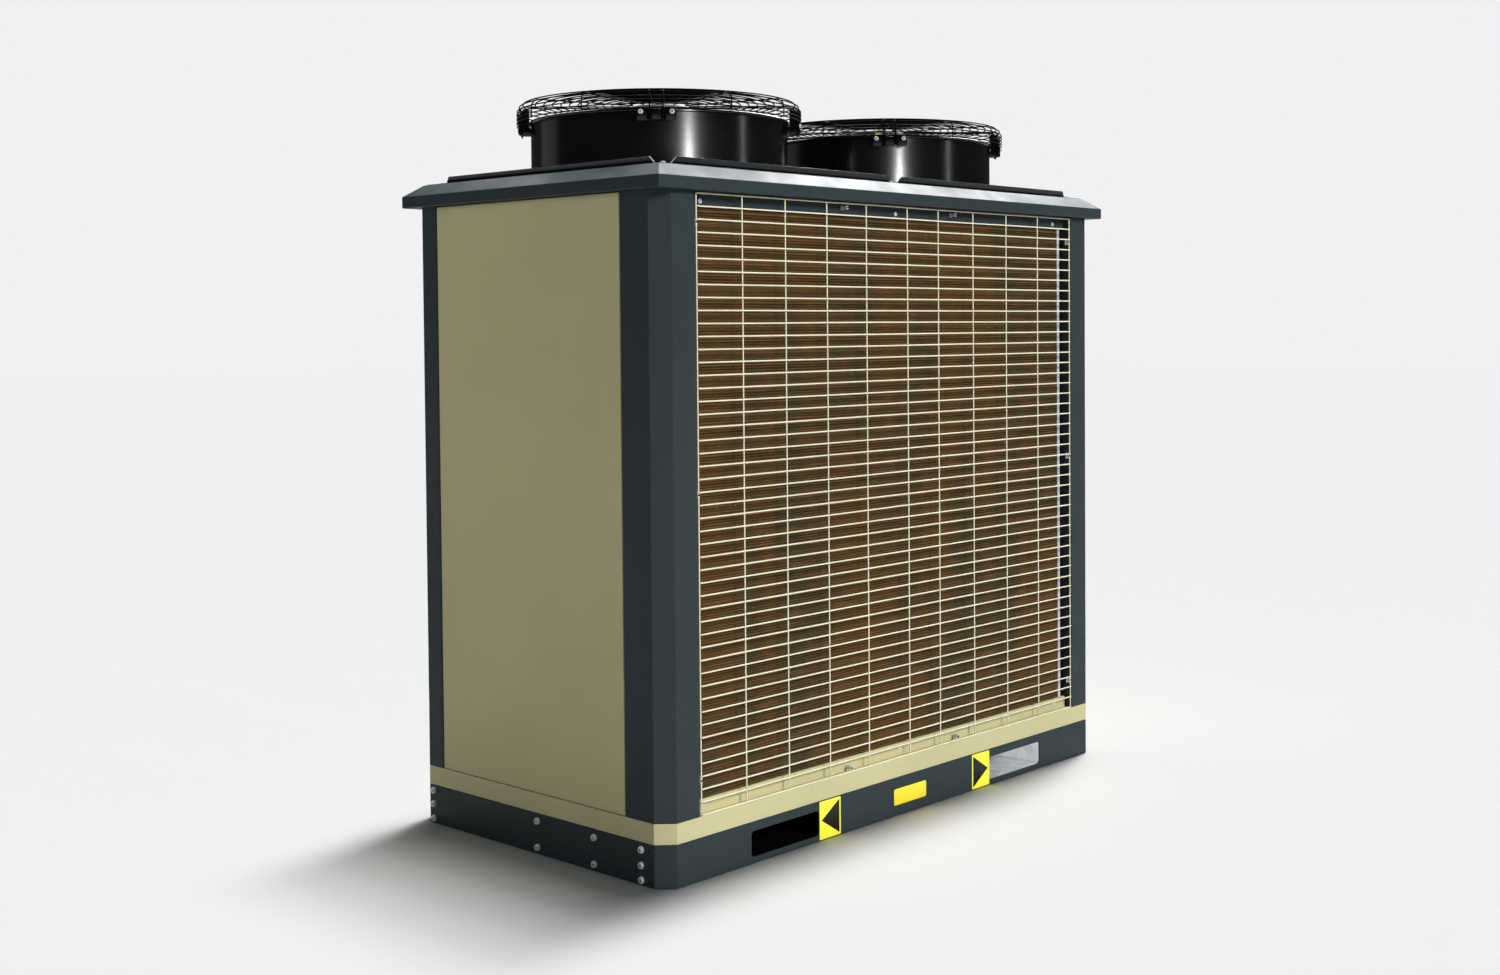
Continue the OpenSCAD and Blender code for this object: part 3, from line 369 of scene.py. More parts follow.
def inset(outline, distance):
    """A closed counter-clockwise outline, moved inwards."""
    moved = []
    for i, point in enumerate(outline):
        before = left_of((point - outline[i - 1]).normalized())
        after = left_of((outline[(i + 1) % len(outline)] - point).normalized())
        middle = (before + after).normalized()
        moved.append(point + middle * distance / max(0.4, middle.dot(after)))
    return moved


def plate(outline, z0, z1, edge, steps=2):
    """An outline made into a slab from z0 to z1, with its rims rounded."""
    edge = min(edge, (z1 - z0) / 2.01)
    arcs = [math.pi / 2 * k / steps for k in range(steps + 1)]
    rims = [(edge * (1 - math.sin(a)), z0 + edge * (1 - math.cos(a))) for a in arcs]
    rims += [(edge * (1 - math.cos(a)), z1 - edge * (1 - math.sin(a))) for a in arcs]
    return loft([level(inset(outline, d), z) for d, z in rims])


def spindle(profile, sides=32):
    """A solid turned about Z from (radius, height) points."""
    return loft([level(circle(r, sides), z) for r, z in profile])


def hoop(profile, sides=128):
    """A closed (radius, height) profile swept once round Z."""
    turns = [2 * math.pi * k / sides for k in range(sides)]
    rings = [[Vector((r * math.cos(t), r * math.sin(t), z)) for r, z in profile] for t in turns]
    return loft(rings, closed=True)


def tube(points, radius, sides=8, closed=False, tips=True):
    """A round bar along points, with rounded tips."""
    points = [Vector(p) for p in points]
    count = len(points)
    radii = [radius] * count
    if tips and not closed:
        first, last = (points[1] - points[0]).normalized(), (points[-2] - points[-1]).normalized()
        points = [points[0], points[0] + first * radius * 0.45, *points[1:-1],
                  points[-1] + last * radius * 0.45, points[-1]]
        radii = [radius * 0.55, radius, *radii[1:-1], radius, radius * 0.55]
        count += 2
    rings, normal = [], None
    for i, point in enumerate(points):
        ahead = points[(i + 1) % count] if closed or i < count - 1 else point
        behind = points[i - 1] if closed or i else point
        along = (ahead - behind).normalized()
        normal = along.orthogonal().normalized() if normal is None else normal
        normal = (normal - along * normal.dot(along)).normalized()
        other = along.cross(normal)
        rings.append([point + radii[i] * (normal * p.x + other * p.y) for p in circle(1, sides)])
    return loft(rings, closed)


def moved_left(path, distance):
    """An open path moved sideways, to its left."""
    moved = []
    for i, point in enumerate(path):
        before = left_of((point - path[i - 1]).normalized()) if i else None
        after = left_of((path[i + 1] - point).normalized()) if i < len(path) - 1 else before
        before = before or after
        middle = (before + after).normalized()
        moved.append(point + middle * distance / middle.dot(after))
    return moved


def folded(path, thickness, radius, steps=4):
    """The closed outline of a sheet bent along path, which is its right-hand face."""
    path = moved_left([Vector(p) for p in path], thickness / 2)
    middle = [(path[0], left_of((path[1] - path[0]).normalized()))]
    for a, b, c in zip(path, path[1:], path[2:]):
        before, after = (b - a).normalized(), (c - b).normalized()
        turn = math.atan2(before.x * after.y - before.y * after.x, before.dot(after))
        reach = radius * math.tan(abs(turn) / 2)
        start, side = b - before * reach, left_of(before) * math.copysign(1, turn)
        for k in range(steps + 1):
            swing = Matrix.Rotation(turn * k / steps, 2)
            middle.append((start + side * radius - swing @ (side * radius), swing @ left_of(before)))
    middle.append((path[-1], left_of((path[-1] - path[-2]).normalized())))
    half = thickness / 2
    return [p + n * half for p, n in middle] + [p - n * half for p, n in reversed(middle)]


def shifted(x, y, z):
    return Matrix.Translation((x, y, z))


def turned_x(x, y, z, sign=1):
    """Takes a form built along +Z to (x, y, z), pointing along +X or -X."""
    return shifted(x, y, z) @ Matrix.Rotation(sign * math.pi / 2, 4, "Y")


def turned_y(x, y, z, sign=-1):
    """Takes a form built along +Z to (x, y, z), pointing along -Y or +Y."""
    return shifted(x, y, z) @ Matrix.Rotation(-sign * math.pi / 2, 4, "X")


def spread_round(at, count, start=0.0):
    """Places spaced evenly round Z, the first at the start angle in degrees."""
    return [at @ Matrix.Rotation(math.radians(start + 360 / count * k), 4, "Z") for k in range(count)]


def standing_out(point, turn):
    """Takes a form built along +Z to point, pointing level away from Z at the given turn."""
    return shifted(*point) @ Matrix.Rotation(turn, 4, "Z") @ Matrix.Rotation(math.pi / 2, 4, "Y")


class Form:
    """Several solids, in millimetres, gathered into one piece, each with the number of its material."""

    def __init__(self):
        self.verts, self.faces, self.paint = [], [], []

    def add(self, solid, at=None, paint=0):
        verts, faces = solid
        start = len(self.verts)
        self.verts += [at @ Vector(v) for v in verts] if at else [Vector(v) for v in verts]
        self.faces += [tuple(start + k for k in face) for face in faces]
        self.paint += [paint] * len(faces)
        return self


# ---- Pieces ----

def finish_piece(name, mesh, nodes, body, smooth, weighted):
    mesh.shade_smooth()
    mesh.set_sharp_from_angle(angle=math.radians(smooth))
    obj = bpy.data.objects.new(name, mesh)
    bpy.context.scene.collection.objects.link(obj)
    if weighted:
        modifier = obj.modifiers.new("flat faces", "WEIGHTED_NORMAL")
        modifier.keep_sharp = True
    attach(obj, body)
    if nodes:
        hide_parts(*nodes)
    return obj


def piece(name, form, slot, nodes=(), body="cabinet", others=(), smooth=35, weighted=False):
    mesh = bpy.data.meshes.new(name)
    mesh.from_pydata([tuple(v * MM) for v in form.verts], [], form.faces)
    for key in (slot, *others):
        mesh.materials.append(MATERIALS[key])
    mesh.polygons.foreach_set("material_index", form.paint)
    work = bmesh.new()
    work.from_mesh(mesh)
    bmesh.ops.recalc_face_normals(work, faces=work.faces)
    work.to_mesh(mesh)
    work.free()
    return finish_piece(name, mesh, nodes, body, smooth, weighted)


def welded(node, whole=True):
    """A CAD node's mesh in metres, with its split vertices joined. Its flat faces are made whole
    again, or only paired into quads."""
    work = bmesh.new()
    work.from_mesh(NODES[node].data)
    bmesh.ops.remove_doubles(work, verts=work.verts, dist=1e-6)
    if whole:
        bmesh.ops.dissolve_limit(work, angle_limit=math.radians(0.5), verts=work.verts, edges=work.edges)
    else:
        bmesh.ops.join_triangles(work, faces=work.faces, angle_face_threshold=0.7, angle_shape_threshold=3.1)
    return work


def round_edges(work, width, segments, test):
    """Rounds the sharp edges whose two ends, in millimetres, pass the test."""
    edges = [e for e in work.edges if len(e.link_faces) == 2 and e.calc_face_angle(0) > math.radians(28)
             and test(*(v.co / MM for v in e.verts))]
    if edges:
        bmesh.ops.bevel(work, geom=edges, offset=width * MM, offset_type="OFFSET", segments=segments,
                        profile=0.5, affect="EDGES", clamp_overlap=True)


def any_edge(a, b):
    return True


def refined(node, slot, width=0.7, body="cabinet", wide=0.0, where=any_edge, cut=None, smooth=35):
    """A copy of a CAD node with rounded edges: the wide ones first, then all that are still sharp."""
    work = welded(node)
    if wide:
        round_edges(work, wide, 4, where)
    round_edges(work, width, 2, any_edge)
    mesh = bpy.data.meshes.new(node + "_finished")
    mesh.materials.append(MATERIALS[slot])
    if cut is not None:
        mesh.materials.append(MATERIALS[cut[0]])
        for face in work.faces:
            face.material_index = int(cut[1](face))
    work.to_mesh(mesh)
    work.free()
    return finish_piece(node + "_finished", mesh, (node,), body, smooth, True)


def solids(node):
    """The box of each separate solid of a CAD node, as (lowest corner, highest corner)."""
    work = welded(node)
    work.verts.ensure_lookup_table()
    seen, boxes = set(), []
    for vert in work.verts:
        if vert in seen:
            continue
        seen.add(vert)
        group, waiting = [], [vert]
        while waiting:
            here = waiting.pop()
            group.append(here.co / MM)
            for edge in here.link_edges:
                there = edge.other_vert(here)
                if there not in seen:
                    seen.add(there)
                    waiting.append(there)
        boxes.append((Vector(map(min, zip(*group))), Vector(map(max, zip(*group)))))
    work.free()
    return boxes


def near(value, place, slack=0.6):
    return abs(value - place) < slack


# ---- Fasteners ----

def hexagon(across):
    return circle(across / math.sqrt(3), 6, math.pi / 6)


def add_hex_bolt(form, at, across, washer_r, washer_t, head_h, socket=0):
    """A hexagon head on its washer, along +Z from the surface, with the screw's end in its middle."""
    form.add(plate(circle(washer_r, 28), 0, washer_t, 0.35), at)
    form.add(plate(hexagon(across), washer_t * 0.9, washer_t + head_h, 0.9, 3), at)
    form.add(spindle([(across * 0.33, washer_t + head_h * 0.9), (across * 0.33, washer_t + head_h + 0.1),
                      (across * 0.22, washer_t + head_h + 0.25)], 18), at, socket)


def add_pan_screw(form, at, radius, height, recess=1):
    """A pan head along +Z with a cross recess, shown by two dark bars of painted shade sunk into its top."""
    form.add(spindle([(radius * 0.94, -0.4), (radius, 0.25 * height), (radius * 0.97, 0.55 * height),
                      (radius * 0.8, 0.84 * height), (radius * 0.55, 0.97 * height),
                      (radius * 0.2, height)], 24), at)
    # Painted shade: the cross recess is drawn as dark bars, not as a hollow.
    for long, short in ((radius * 1.05, radius * 0.24), (radius * 0.24, radius * 1.05)):
        bar = round_rect(long, short, radius * 0.1, 2)
        form.add(plate(bar, 0.5 * height, 1.02 * height, 0.1), at, recess)


def base_bolts():
    """Hexagon heads on the outside of the end rails, with their shanks inside."""
    form = Form()
    for lo, hi in solids("base_bolts"):
        side = 1 if lo.x > 0 else -1
        y, z = (lo.y + hi.y) / 2, (lo.z + hi.z) / 2
        outside = turned_x(side * HALF_L, y, z, side)
        add_hex_bolt(form, outside, across=16, washer_r=10.4, washer_t=2, head_h=6, socket=1)
        inner = hi.x if side < 0 else lo.x
        shank_r, shank = 5, abs(side * HALF_L - inner)
        form.add(spindle([(shank_r, 0), (shank_r, shank)], 16), turned_x(side * HALF_L, y, z, -side))
    piece("base_bolt_heads", form, "zinc", ("base_bolts",), others=("motor_casting",), smooth=28)


def bracket_bolt_place(middle):
    """The place on a guard bracket's face, pointing outwards, of the bolt whose middle is given."""
    fan = math.copysign(FAN_X, middle.x)
    quarter = math.radians(90)
    turn = quarter * math.floor(math.atan2(middle.y, middle.x - fan) / quarter) + quarter / 2
    outward = Vector((math.cos(turn), math.sin(turn), 0))
    sideways = Vector((-math.sin(turn), math.cos(turn), 0))
    axis = Vector((fan, 0, middle.z))
    face = BRACKET_FACE + BRACKET_SHEET + 0.2
    return standing_out(axis + outward * face + sideways * (middle - axis).dot(sideways), turn)


def cabinet_screws():
    """Hexagon heads on the decks' corners and the guard brackets, and pan heads on the two long sides."""
    form = Form()
    for lo, hi in solids("cabinet_screws"):
        middle = (lo + hi) / 2
        if hi.z > DECK_TOP + 2 and hi.x - lo.x < 20 and near(lo.z, DECK_TOP - 11, 3):
            at = shifted(middle.x, middle.y, DECK_TOP)
            add_hex_bolt(form, at, across=12.4, washer_r=8, washer_t=1.2, head_h=5.4, socket=1)
        elif middle.z > DECK_TOP:
            at = bracket_bolt_place(middle)
            add_hex_bolt(form, at, across=11.6, washer_r=7.4, washer_t=1.2, head_h=4.6, socket=1)
        else:
            side, washer_t = (-1 if middle.y < 0 else 1), 0.8
            face = lo.y + 3 if side < 0 else hi.y - 3
            at = turned_y(middle.x, face, middle.z, side)
            form.add(plate(circle(7.2, 24), 0, washer_t, 0.2), at)
            add_pan_screw(form, at @ shifted(0, 0, washer_t), radius=5.4, height=2.1)
    piece("cabinet_screw_heads", form, "zinc", ("cabinet_screws",), others=("motor_casting",), smooth=28)


# ---- Base, posts, panels and roof ----

def on_rail_fold(a, b):
    return near(abs(a.x), HALF_L - CORNER) and near(abs(a.y), HALF_W) and near(a.x, b.x) or \
        near(abs(a.y), CORNER_Y) and near(abs(a.x), HALF_L) and near(a.y, b.y)


def on_rail_rim(a, b):
    """Outer level edges of a base rail or band, and the folds at the cut corners."""
    inside_cut = (HALF_L + HALF_W - CORNER - abs(a.x) - abs(a.y)) * 0.7
    outside = min(HALF_W - abs(a.y), HALF_L - abs(a.x), inside_cut)
    on_rim = near(a.z, b.z) and any(near(a.z, z) for z in (0, RAIL_TOP, BAND_TOP))
    return outside < 0.3 and on_rim or on_rail_fold(a, b)


def base():
    for side in ("front", "rear", "left", "right"):
        refined("base_rail_" + side, "dark_paint", 1.1, wide=2.6, where=on_rail_rim)
        refined("kick_band_" + side, "beige_paint", 0.6, wide=1.8, where=on_rail_rim)
    refined("base_beams", "dark_paint", 0.8)
    # Painted shade: the left fork tunnel is black paint standing for the shade inside its pocket. The right
    # one is a pale galvanised lining, lit by its own lamp, for its bright pocket.
    refined("fork_tunnel_left", "black_paint", 0.9)
    refined("fork_tunnel_right", "galvanised", 0.9)
    refined("base_pan", "galvanised", 0.5)
    base_bolts()


def posts():
    """Corner posts of sheet, folded along the cut corner, with both their edges turned in."""
    for name in ("post_front_left", "post_front_right", "post_rear_left", "post_rear_right"):
        leg = min(abs(low(name).y), abs(high(name).y))
        end_face = [(-HALF_L + 30, -leg), (-HALF_L, -leg), (-HALF_L, -CORNER_Y)]
        long_face = [(-HALF_L + CORNER, -HALF_W), (-SIDE_X, -HALF_W), (-SIDE_X, -HALF_W + 48)]
        outline = folded(end_face + long_face, POST_SHEET, 4)
        flip = Matrix.Diagonal((-1 if "right" in name else 1, -1 if "rear" in name else 1, 1, 1))
        lip = 0.4
        rings = [(BAND_TOP, lip), (BAND_TOP + lip, 0), (CABINET_TOP - lip, 0), (CABINET_TOP, lip)]
        skin = loft([level(thinned(outline, d), z) for z, d in rings])
        piece(name + "_finished", Form().add(skin, flip), "dark_paint", (name,), smooth=30, weighted=True)


def thinned(outline, distance):
    """A sheet's outline made thinner by distance on each side, for a softened end."""
    return [p + (facing - p).normalized() * distance for p, facing in zip(outline, reversed(outline))]


def tray(width, height, depth, sheet, radius, steps=4):
    """A shallow sheet tray with small round corners, its face towards -Z at 0 and its rim at depth."""
    arcs = [math.pi / 2 * k / steps for k in range(steps + 1)]
    rings = []
    for wall in (sheet, 0):
        bend = max(radius - wall, 0.6)
        side = [(wall + bend * (1 - math.sin(a)), wall + bend * (1 - math.cos(a))) for a in arcs]
        side.append((wall, depth))
        rings += side if wall else reversed(side)
    outlines = [(round_rect(width - 2 * d, height - 2 * d, max(3 - d, 0.5), 3), z) for d, z in rings]
    return loft([level(outline, z) for outline, z in outlines])


def end_panel():
    lo, hi = box("end_panel")
    middle = (lo + hi) / 2
    skin = tray(hi.z - lo.z, hi.y - lo.y, hi.x - lo.x, sheet=2, radius=2.6)
    form = Form().add(skin, turned_x(lo.x, middle.y, middle.z))
    piece("end_panel_tray", form, "beige_paint", ("end_panel",), smooth=30, weighted=True)


def on_face_rim(node):
    """Edges on the outline of a right-hand panel's face."""
    lo, hi = box(node)

    def test(a, b):
        if not (near(a.x, PANEL_FACE) and near(b.x, PANEL_FACE)):
            return False
        return any(near(a[i], c[i]) and near(b[i], c[i]) for i in (1, 2) for c in (lo, hi))
    return test


def service_end():
    refined("service_door", "beige_paint", 0.5, "service_door", wide=2.4,
            where=on_face_rim("service_door"))
    refined("connection_panel", "beige_paint", 0.5, wide=2.4, where=on_face_rim("connection_panel"))
    refined("door_hinges", "zinc", 0.5)
    hinge_screws()
    door_latch()
    isolator()
    cable_glands()
    water_pipes()


def hinge_screws():
    """Countersunk screws through both leaves of each hinge."""
    for body, leaf_face, aside in (("cabinet", 2.4, 26), ("service_door", 1.9, -26)):
        form = Form()
        for lo, hi in solids("door_hinges"):
            pin_y, z = lo.y + 6, (lo.z + hi.z) / 2
            for dz in (-24, 0, 24):
                at = turned_x(HALF_L + leaf_face, pin_y + aside, z + dz)
                add_pan_screw(form, at, radius=4.4, height=1.3)
        piece("hinge_screws_" + body, form, "zinc", (), body, ("motor_casting",), 28)


def door_latch():
    """A quarter-turn latch: escutcheon, waisted grip, shaft, cam and nut."""
    lo, hi = box("door_latch")
    y, cam_x, shaft_r = (lo.y + hi.y) / 2, lo.x + 2, 6
    outside, cam_at = turned_x(HALF_L, y, LATCH_Z), turned_x(cam_x, y, LATCH_Z)
    form = Form()
    form.add(plate(circle(21, 48), 0.2, 5, 1.6, 3), outside)
    form.add(spindle([(9, 4), (9, 7), (8, 9)], 32), outside)
    grip = [Vector((26 * math.cos(t), (0.62 + 0.38 * abs(math.cos(t))) * 6.4 * math.sin(t)))
            for t in (2 * math.pi * k / 40 for k in range(40))]
    form.add(plate(grip, 5, hi.x - HALF_L, 2.6, 4), outside)
    form.add(spindle([(shaft_r, 0), (shaft_r, HALF_L - cam_x)], 28), turned_x(HALF_L, y, LATCH_Z, -1))
    cam = [p + Vector((-22, 0)) for p in round_rect(60, 17, 7)]
    form.add(plate(cam, -2, 2, 0.6), cam_at)
    form.add(plate(hexagon(13), -6, -2, 0.8), cam_at)
    piece("door_latch_finished", form, "latch_plastic", ("door_latch",), "door_latch", smooth=30)


def isolator():
    """The isolator's handle with its shaft, and the switch behind it: base, sleeve, cover and screws."""
    lo, hi = box("isolator_handle")
    y, z, shaft_r = (lo.y + hi.y) / 2, (lo.z + hi.z) / 2, 5
    outside = turned_x(HALF_L, y, z)
    handle = Form()
    handle.add(plate(circle(24, 48), 0.4, 6, 1.8, 3), outside)
    handle.add(plate(round_rect(47, 11.6, 4), 5, hi.x - HALF_L, 2.4, 4), outside)
    handle.add(spindle([(shaft_r, 0), (shaft_r, HALF_L - lo.x)], 24), turned_x(HALF_L, y, z, -1))
    piece("isolator_knob", handle, "red_plastic", ("isolator_handle",), "isolator_handle", smooth=30)

    lo, hi = box("isolator_switch")
    middle, size = (lo + hi) / 2, hi - lo
    back, depth = turned_x(lo.x, middle.y, middle.z), size.x
    switch = Form()
    switch.add(plate(round_rect(size.z, size.y, 5), 0, depth * 0.62, 1.5, 3), back)
    sleeve = [(8.5, depth * 0.6), (8.5, depth), (6, depth), (6, depth * 0.6)]
    switch.add(loft([level(circle(r, 24), z) for r, z in sleeve], closed=True), back)
    switch.add(plate(round_rect(62, 62, 4), depth * 0.7, depth * 0.74, 0.5), back)
    for dz in (-25, 25):
        for dy in (-25, 25):
            switch.add(spindle([(4, depth * 0.5), (4, depth * 0.98)], 20), back @ shifted(dz, dy, 0))
    piece("isolator_body", switch, "dark_plastic", ("isolator_switch",), smooth=30)


def cable_glands():
    """Grommets lining the two cable entries of the connection panel."""
    form = Form()
    for y, z, r in CABLE_ENTRIES:
        at = turned_x(PANEL_FACE, y, z)
        form.add(hoop([(r, -5), (r + 4, -5), (r + 4.4, -3.6), (r + 0.05, -2.2)], 40), at)
        bead = [(r - 0.1, 0.2), (r + 3.6, 0.2), (r + 3.4, 1.6), (r + 1.5, 2.4), (r + 0.2, 1.8)]
        form.add(hoop(bead, 40), at)
    piece("cable_grommets", form, "rubber", smooth=40)


def water_pipes():
    """The pipe runs with round walls, and threaded unions on the service end."""
    work = welded("water_pipes")
    mesh = bpy.data.meshes.new("water_pipe_runs")
    doomed = [v for v in work.verts if v.co.x / MM > HALF_L - 24.5]
    bmesh.ops.delete(work, geom=doomed, context="VERTS")
    work.to_mesh(mesh)
    work.free()
    mesh.materials.append(MATERIALS["dark_plastic"])
    finish_piece("water_pipe_runs", mesh, ("water_pipes",), "cabinet", 50, False)

    bore, outer, reach = 25, WATER_STUB_R, high("water_pipes").x - HALF_L
    start, pitch = -25, 2.3
    thread = [(bore, start), (outer, start), (outer, 2)]
    for k in range(int((reach - 4) / pitch)):
        crest = 3 + k * pitch
        thread += [(outer, crest), (outer - 1.1, crest + pitch / 2)]
    thread += [(outer - 0.4, reach - 1), (outer - 1.6, reach), (bore, reach)]
    form = Form()
    for y, z in WATER_STUBS:
        at = turned_x(HALF_L, y, z)
        form.add(hoop(thread, 64), at)
        form.add(hoop([(31, -30), (39.6, -30), (39.6, -8), (31, -6)], 48), at)
        form.add(hoop([(24, -30), (30, -30), (30, start), (24, start)], 48), at)
    piece("water_unions", form, "dark_plastic", smooth=32)


def roof():
    """Four folded roof edges, mitred at the corners."""
    gap, fascia, run, flange, lip = 0.35, 35, 48, 72, 22
    rise = ROOF_TOP - CABINET_TOP
    outline = folded([(run + lip, rise), (run, rise), (0, fascia), (0, 0), (flange, 0)], ROOF_SHEET, 3.2)
    for name, along, across, turn in (("front", ROOF_L, ROOF_W, 0), ("rear", ROOF_L, ROOF_W, 2),
                                      ("left", ROOF_W, ROOF_L, 3), ("right", ROOF_W, ROOF_L, 1)):
        ends = [[Vector((side * (along - p.x - gap), p.x - across, CABINET_TOP + p.y)) for p in outline]
                for side in (-1, 1)]
        form = Form().add(loft(ends), Matrix.Rotation(turn * math.pi / 2, 4, "Z"))
        name = "roof_edge_" + name
        piece(name + "_finished", form, "dark_paint", (name,), smooth=30, weighted=True)


def is_rim_cut(face):
    """The sloping cut ends of a deck's rims, left bare where the sheet was sheared."""
    tall = face.calc_center_median().z / MM > DECK_TOP + 1.5
    return tall and 0.25 < face.normal.z < 0.9 and face.calc_area() / MM ** 2 < 400


def decks():
    for deck, rail in (("fan_deck_left", "top_rail_front"), ("fan_deck_right", "top_rail_rear")):
        refined(deck, "black_paint", 0.35, cut=("zinc", is_rim_cut))
        refined(rail, "dark_paint", 0.5)


# ---- Fans ----

def shoulder(radius, top, bend, turn):
    """The (radius, height) of a point on a guard's rounded shoulder, turned from level to upright."""
    return radius - bend + bend * math.cos(turn), top - bend + bend * math.sin(turn)


def wire_profile(foot):
    """(radius, height) points of a guard wire: up the side, round the shoulder and in across the top."""
    top, inner, steps = GUARD_WIRE_TOP, 91, 8
    side_top, flat_r = top - GUARD_BEND, GUARD_R - GUARD_BEND
    points = [(GUARD_R, foot), (GUARD_R, (foot + side_top) / 2), (GUARD_R, side_top)]
    points += [shoulder(GUARD_R, top, GUARD_BEND, math.pi / 2 * k / steps) for k in range(1, steps)]
    return points + [(flat_r + (inner - flat_r) * k / steps, top) for k in range(steps + 1)]


def guard_rings():
    """(radius, height) of each ring, laid on the outside of the guard's wires."""
    top, off = GUARD_WIRE_TOP, RING_OUT
    rings = [(GUARD_R + off, SHROUD_TOP - 4 + 12 * k) for k in range(3)]
    for turn in (12, 40, 68):
        rings.append(shoulder(GUARD_R + off, top + off, GUARD_BEND + off, math.radians(turn)))
    return rings + [(95 + 26 * k, top + off) for k in range(12)]


def fan_guard(side):
    form = Form()
    for radius, height in guard_rings():
        form.add(tube(level(circle(radius, 96), height), GUARD_WIRE_R, 6, closed=True), FANS[side])
    for k, at in enumerate(spread_round(FANS[side], GUARD_WIRES, FIRST_WIRE)):
        double = k % 3 == 0
        foot = SHROUD_TOP - (31 if double else 6)
        for offset in ((-DOUBLE_WIRE, DOUBLE_WIRE) if double else (0,)):
            form.add(tube([(r, offset, z) for r, z in wire_profile(foot)], GUARD_WIRE_R, 6), at)
    piece("fan_guard_%s_wires" % side, form, "black_wire", ("fan_guard_" + side,), smooth=50)


def guard_brackets():
    """A face plate for two bolts, with two webs that follow the guard's shoulder."""
    low_z, tall, sheet = low("guard_brackets").z, 30.5, BRACKET_SHEET
    middle_z = low_z + tall / 2
    root, tip, top = SHROUD_R + 0.4, 403, GUARD_TOP - 11
    outer, bend = GUARD_R - GUARD_WIRE_R - 0.25, 24
    web = [(root, low_z), (outer, low_z)]
    web += [shoulder(outer, top, bend, math.pi / 2 * k / 6) for k in range(7)]
    web += [(tip, top), (tip, SHROUD_TOP - 11), (root, SHROUD_TOP - 14)]
    web = plate([Vector(p) for p in web], 0, sheet, 0.5)
    ear, cheek = plate(round_rect(36, 30, 4), 0, sheet, 0.6), plate(round_rect(30, 29, 3), 0, sheet, 0.5)
    upright = Matrix.Rotation(math.pi / 2, 4, "X")
    form = Form()
    for fan in FANS.values():
        for at in spread_round(fan, 4, FIRST_WIRE):
            for offset in (-DOUBLE_WIRE, DOUBLE_WIRE):
                form.add(web, at @ shifted(0, offset + sheet / 2, 0) @ upright)
                form.add(ear, at @ turned_x(BRACKET_FACE, offset + math.copysign(22, offset), middle_z))
            form.add(cheek, at @ turned_x(BRACKET_FACE, 0, middle_z))
    piece("guard_bracket_plates", form, "black_paint", ("guard_brackets",), smooth=30)


def around(radius, turn, height):
    return Vector((radius * math.cos(turn), radius * math.sin(turn), height))


def fan_shroud(side):
    """A spun ring with a flat foot flange, a rolled bead at its mouth, a riveted seam and foot rivets."""
    fan, inner, r, foot_r = FANS[side], SHROUD_R - 3, SHROUD_R, SHROUD_FOOT_R
    foot, top, bead_r = DECK_TOP, SHROUD_TOP, 4.9
    bead = [(r + bead_r * math.cos(t), top - 5 + bead_r * math.sin(t))
            for t in (math.pi * (k / 8 - 0.5) for k in range(9))]
    flange = [(inner, foot), (foot_r, foot), (foot_r, foot + 2.4), (foot_r - 0.6, foot + 3)]
    bend = [(r + 5, foot + 3), (r + 1.5, foot + 4.5), (r, foot + 8)]
    wall = [(r, foot + 9), (r, top - 13), (r, top - 12)]
    form = Form().add(hoop([*flange, *bend, *wall, *bead, (inner, top - 1.5), (inner, top - 8)], 180), fan)
    seam, half_step = math.radians(62), math.radians(0.5)
    strip = [(r + 0.9, foot + 9), (r + 0.9, top - 14), (r - 0.5, top - 13), (r - 0.5, foot + 8)]
    form.add(loft([[around(rs, seam + half_step * k, z) for rs, z in strip] for k in range(-4, 5)]), fan)
    for k in range(7):
        at = standing_out(around(r + 0.7, seam, foot + 22 + 24 * k), seam)
        form.add(spindle([(3, 0), (2.8, 0.8), (1.6, 1.4)], 14), fan @ at)
    for k in range(12):
        at = shifted(*around(foot_r - 6, math.radians(15 + 30 * k), foot + 3))
        form.add(spindle([(3.6, -0.5), (3.4, 1.2), (2, 2)], 14), fan @ at)
    piece("fan_shroud_%s_ring" % side, form, "black_paint", ("fan_shroud_" + side,), smooth=30)


def fan_motor(side):
    """An external-rotor motor's still half: ribbed flange, stator, shaft, mounting lugs and a plain label."""
    fan, (lo, hi) = FANS[side], box("fan_motor_" + side)
    top, foot, shaft_r, body_r, flange_r = hi.z, lo.z, 11.9, 69.5, 90
    stator = [(shaft_r, foot), (shaft_r, foot + 66), (66, foot + 66), (body_r, foot + 68),
              (body_r, top - 20), (66, top - 16), (66, top - 7)]
    flange = [(flange_r - 1.2, top - 7), (flange_r, top - 5.8), (flange_r, top - 1.4), (flange_r - 1.4, top)]
    dish = [(58, top), (54, top - 3), (20, top - 3), (17, top)]
    form = Form().add(spindle(stator + flange + dish, 72), fan)
    rib = plate([p + Vector((76, 0)) for p in round_rect(22, 3, 1.2, 2)], top - 24, top - 6.5, 0.8)
    for at in spread_round(fan, 24, 7.5):
        form.add(rib, at)
    facing, step = math.radians(223), math.radians(2.2)
    label = [(87, top - 22), (88.6, top - 22), (88.6, top - 8), (87, top - 8)]
    form.add(loft([[around(r, facing + step * k, z) for r, z in label] for k in range(-3, 4)]), fan, 1)
    lug, lug_t = plate(round_rect(16, 22, 3), -0.5, 2.2, 0.6), 2.2
    for at in spread_round(fan, 4, FIRST_WIRE):
        form.add(lug, at @ shifted(84, 0, top))
        bolt_at = at @ shifted(83, 0, top + lug_t)
        add_hex_bolt(form, bolt_at, across=8, washer_r=5.6, washer_t=0.8, head_h=3, socket=2)
    piece("fan_motor_%s_casting" % side, form, "motor_casting", ("fan_motor_" + side,),
          others=("label_yellow", "zinc"), smooth=30)


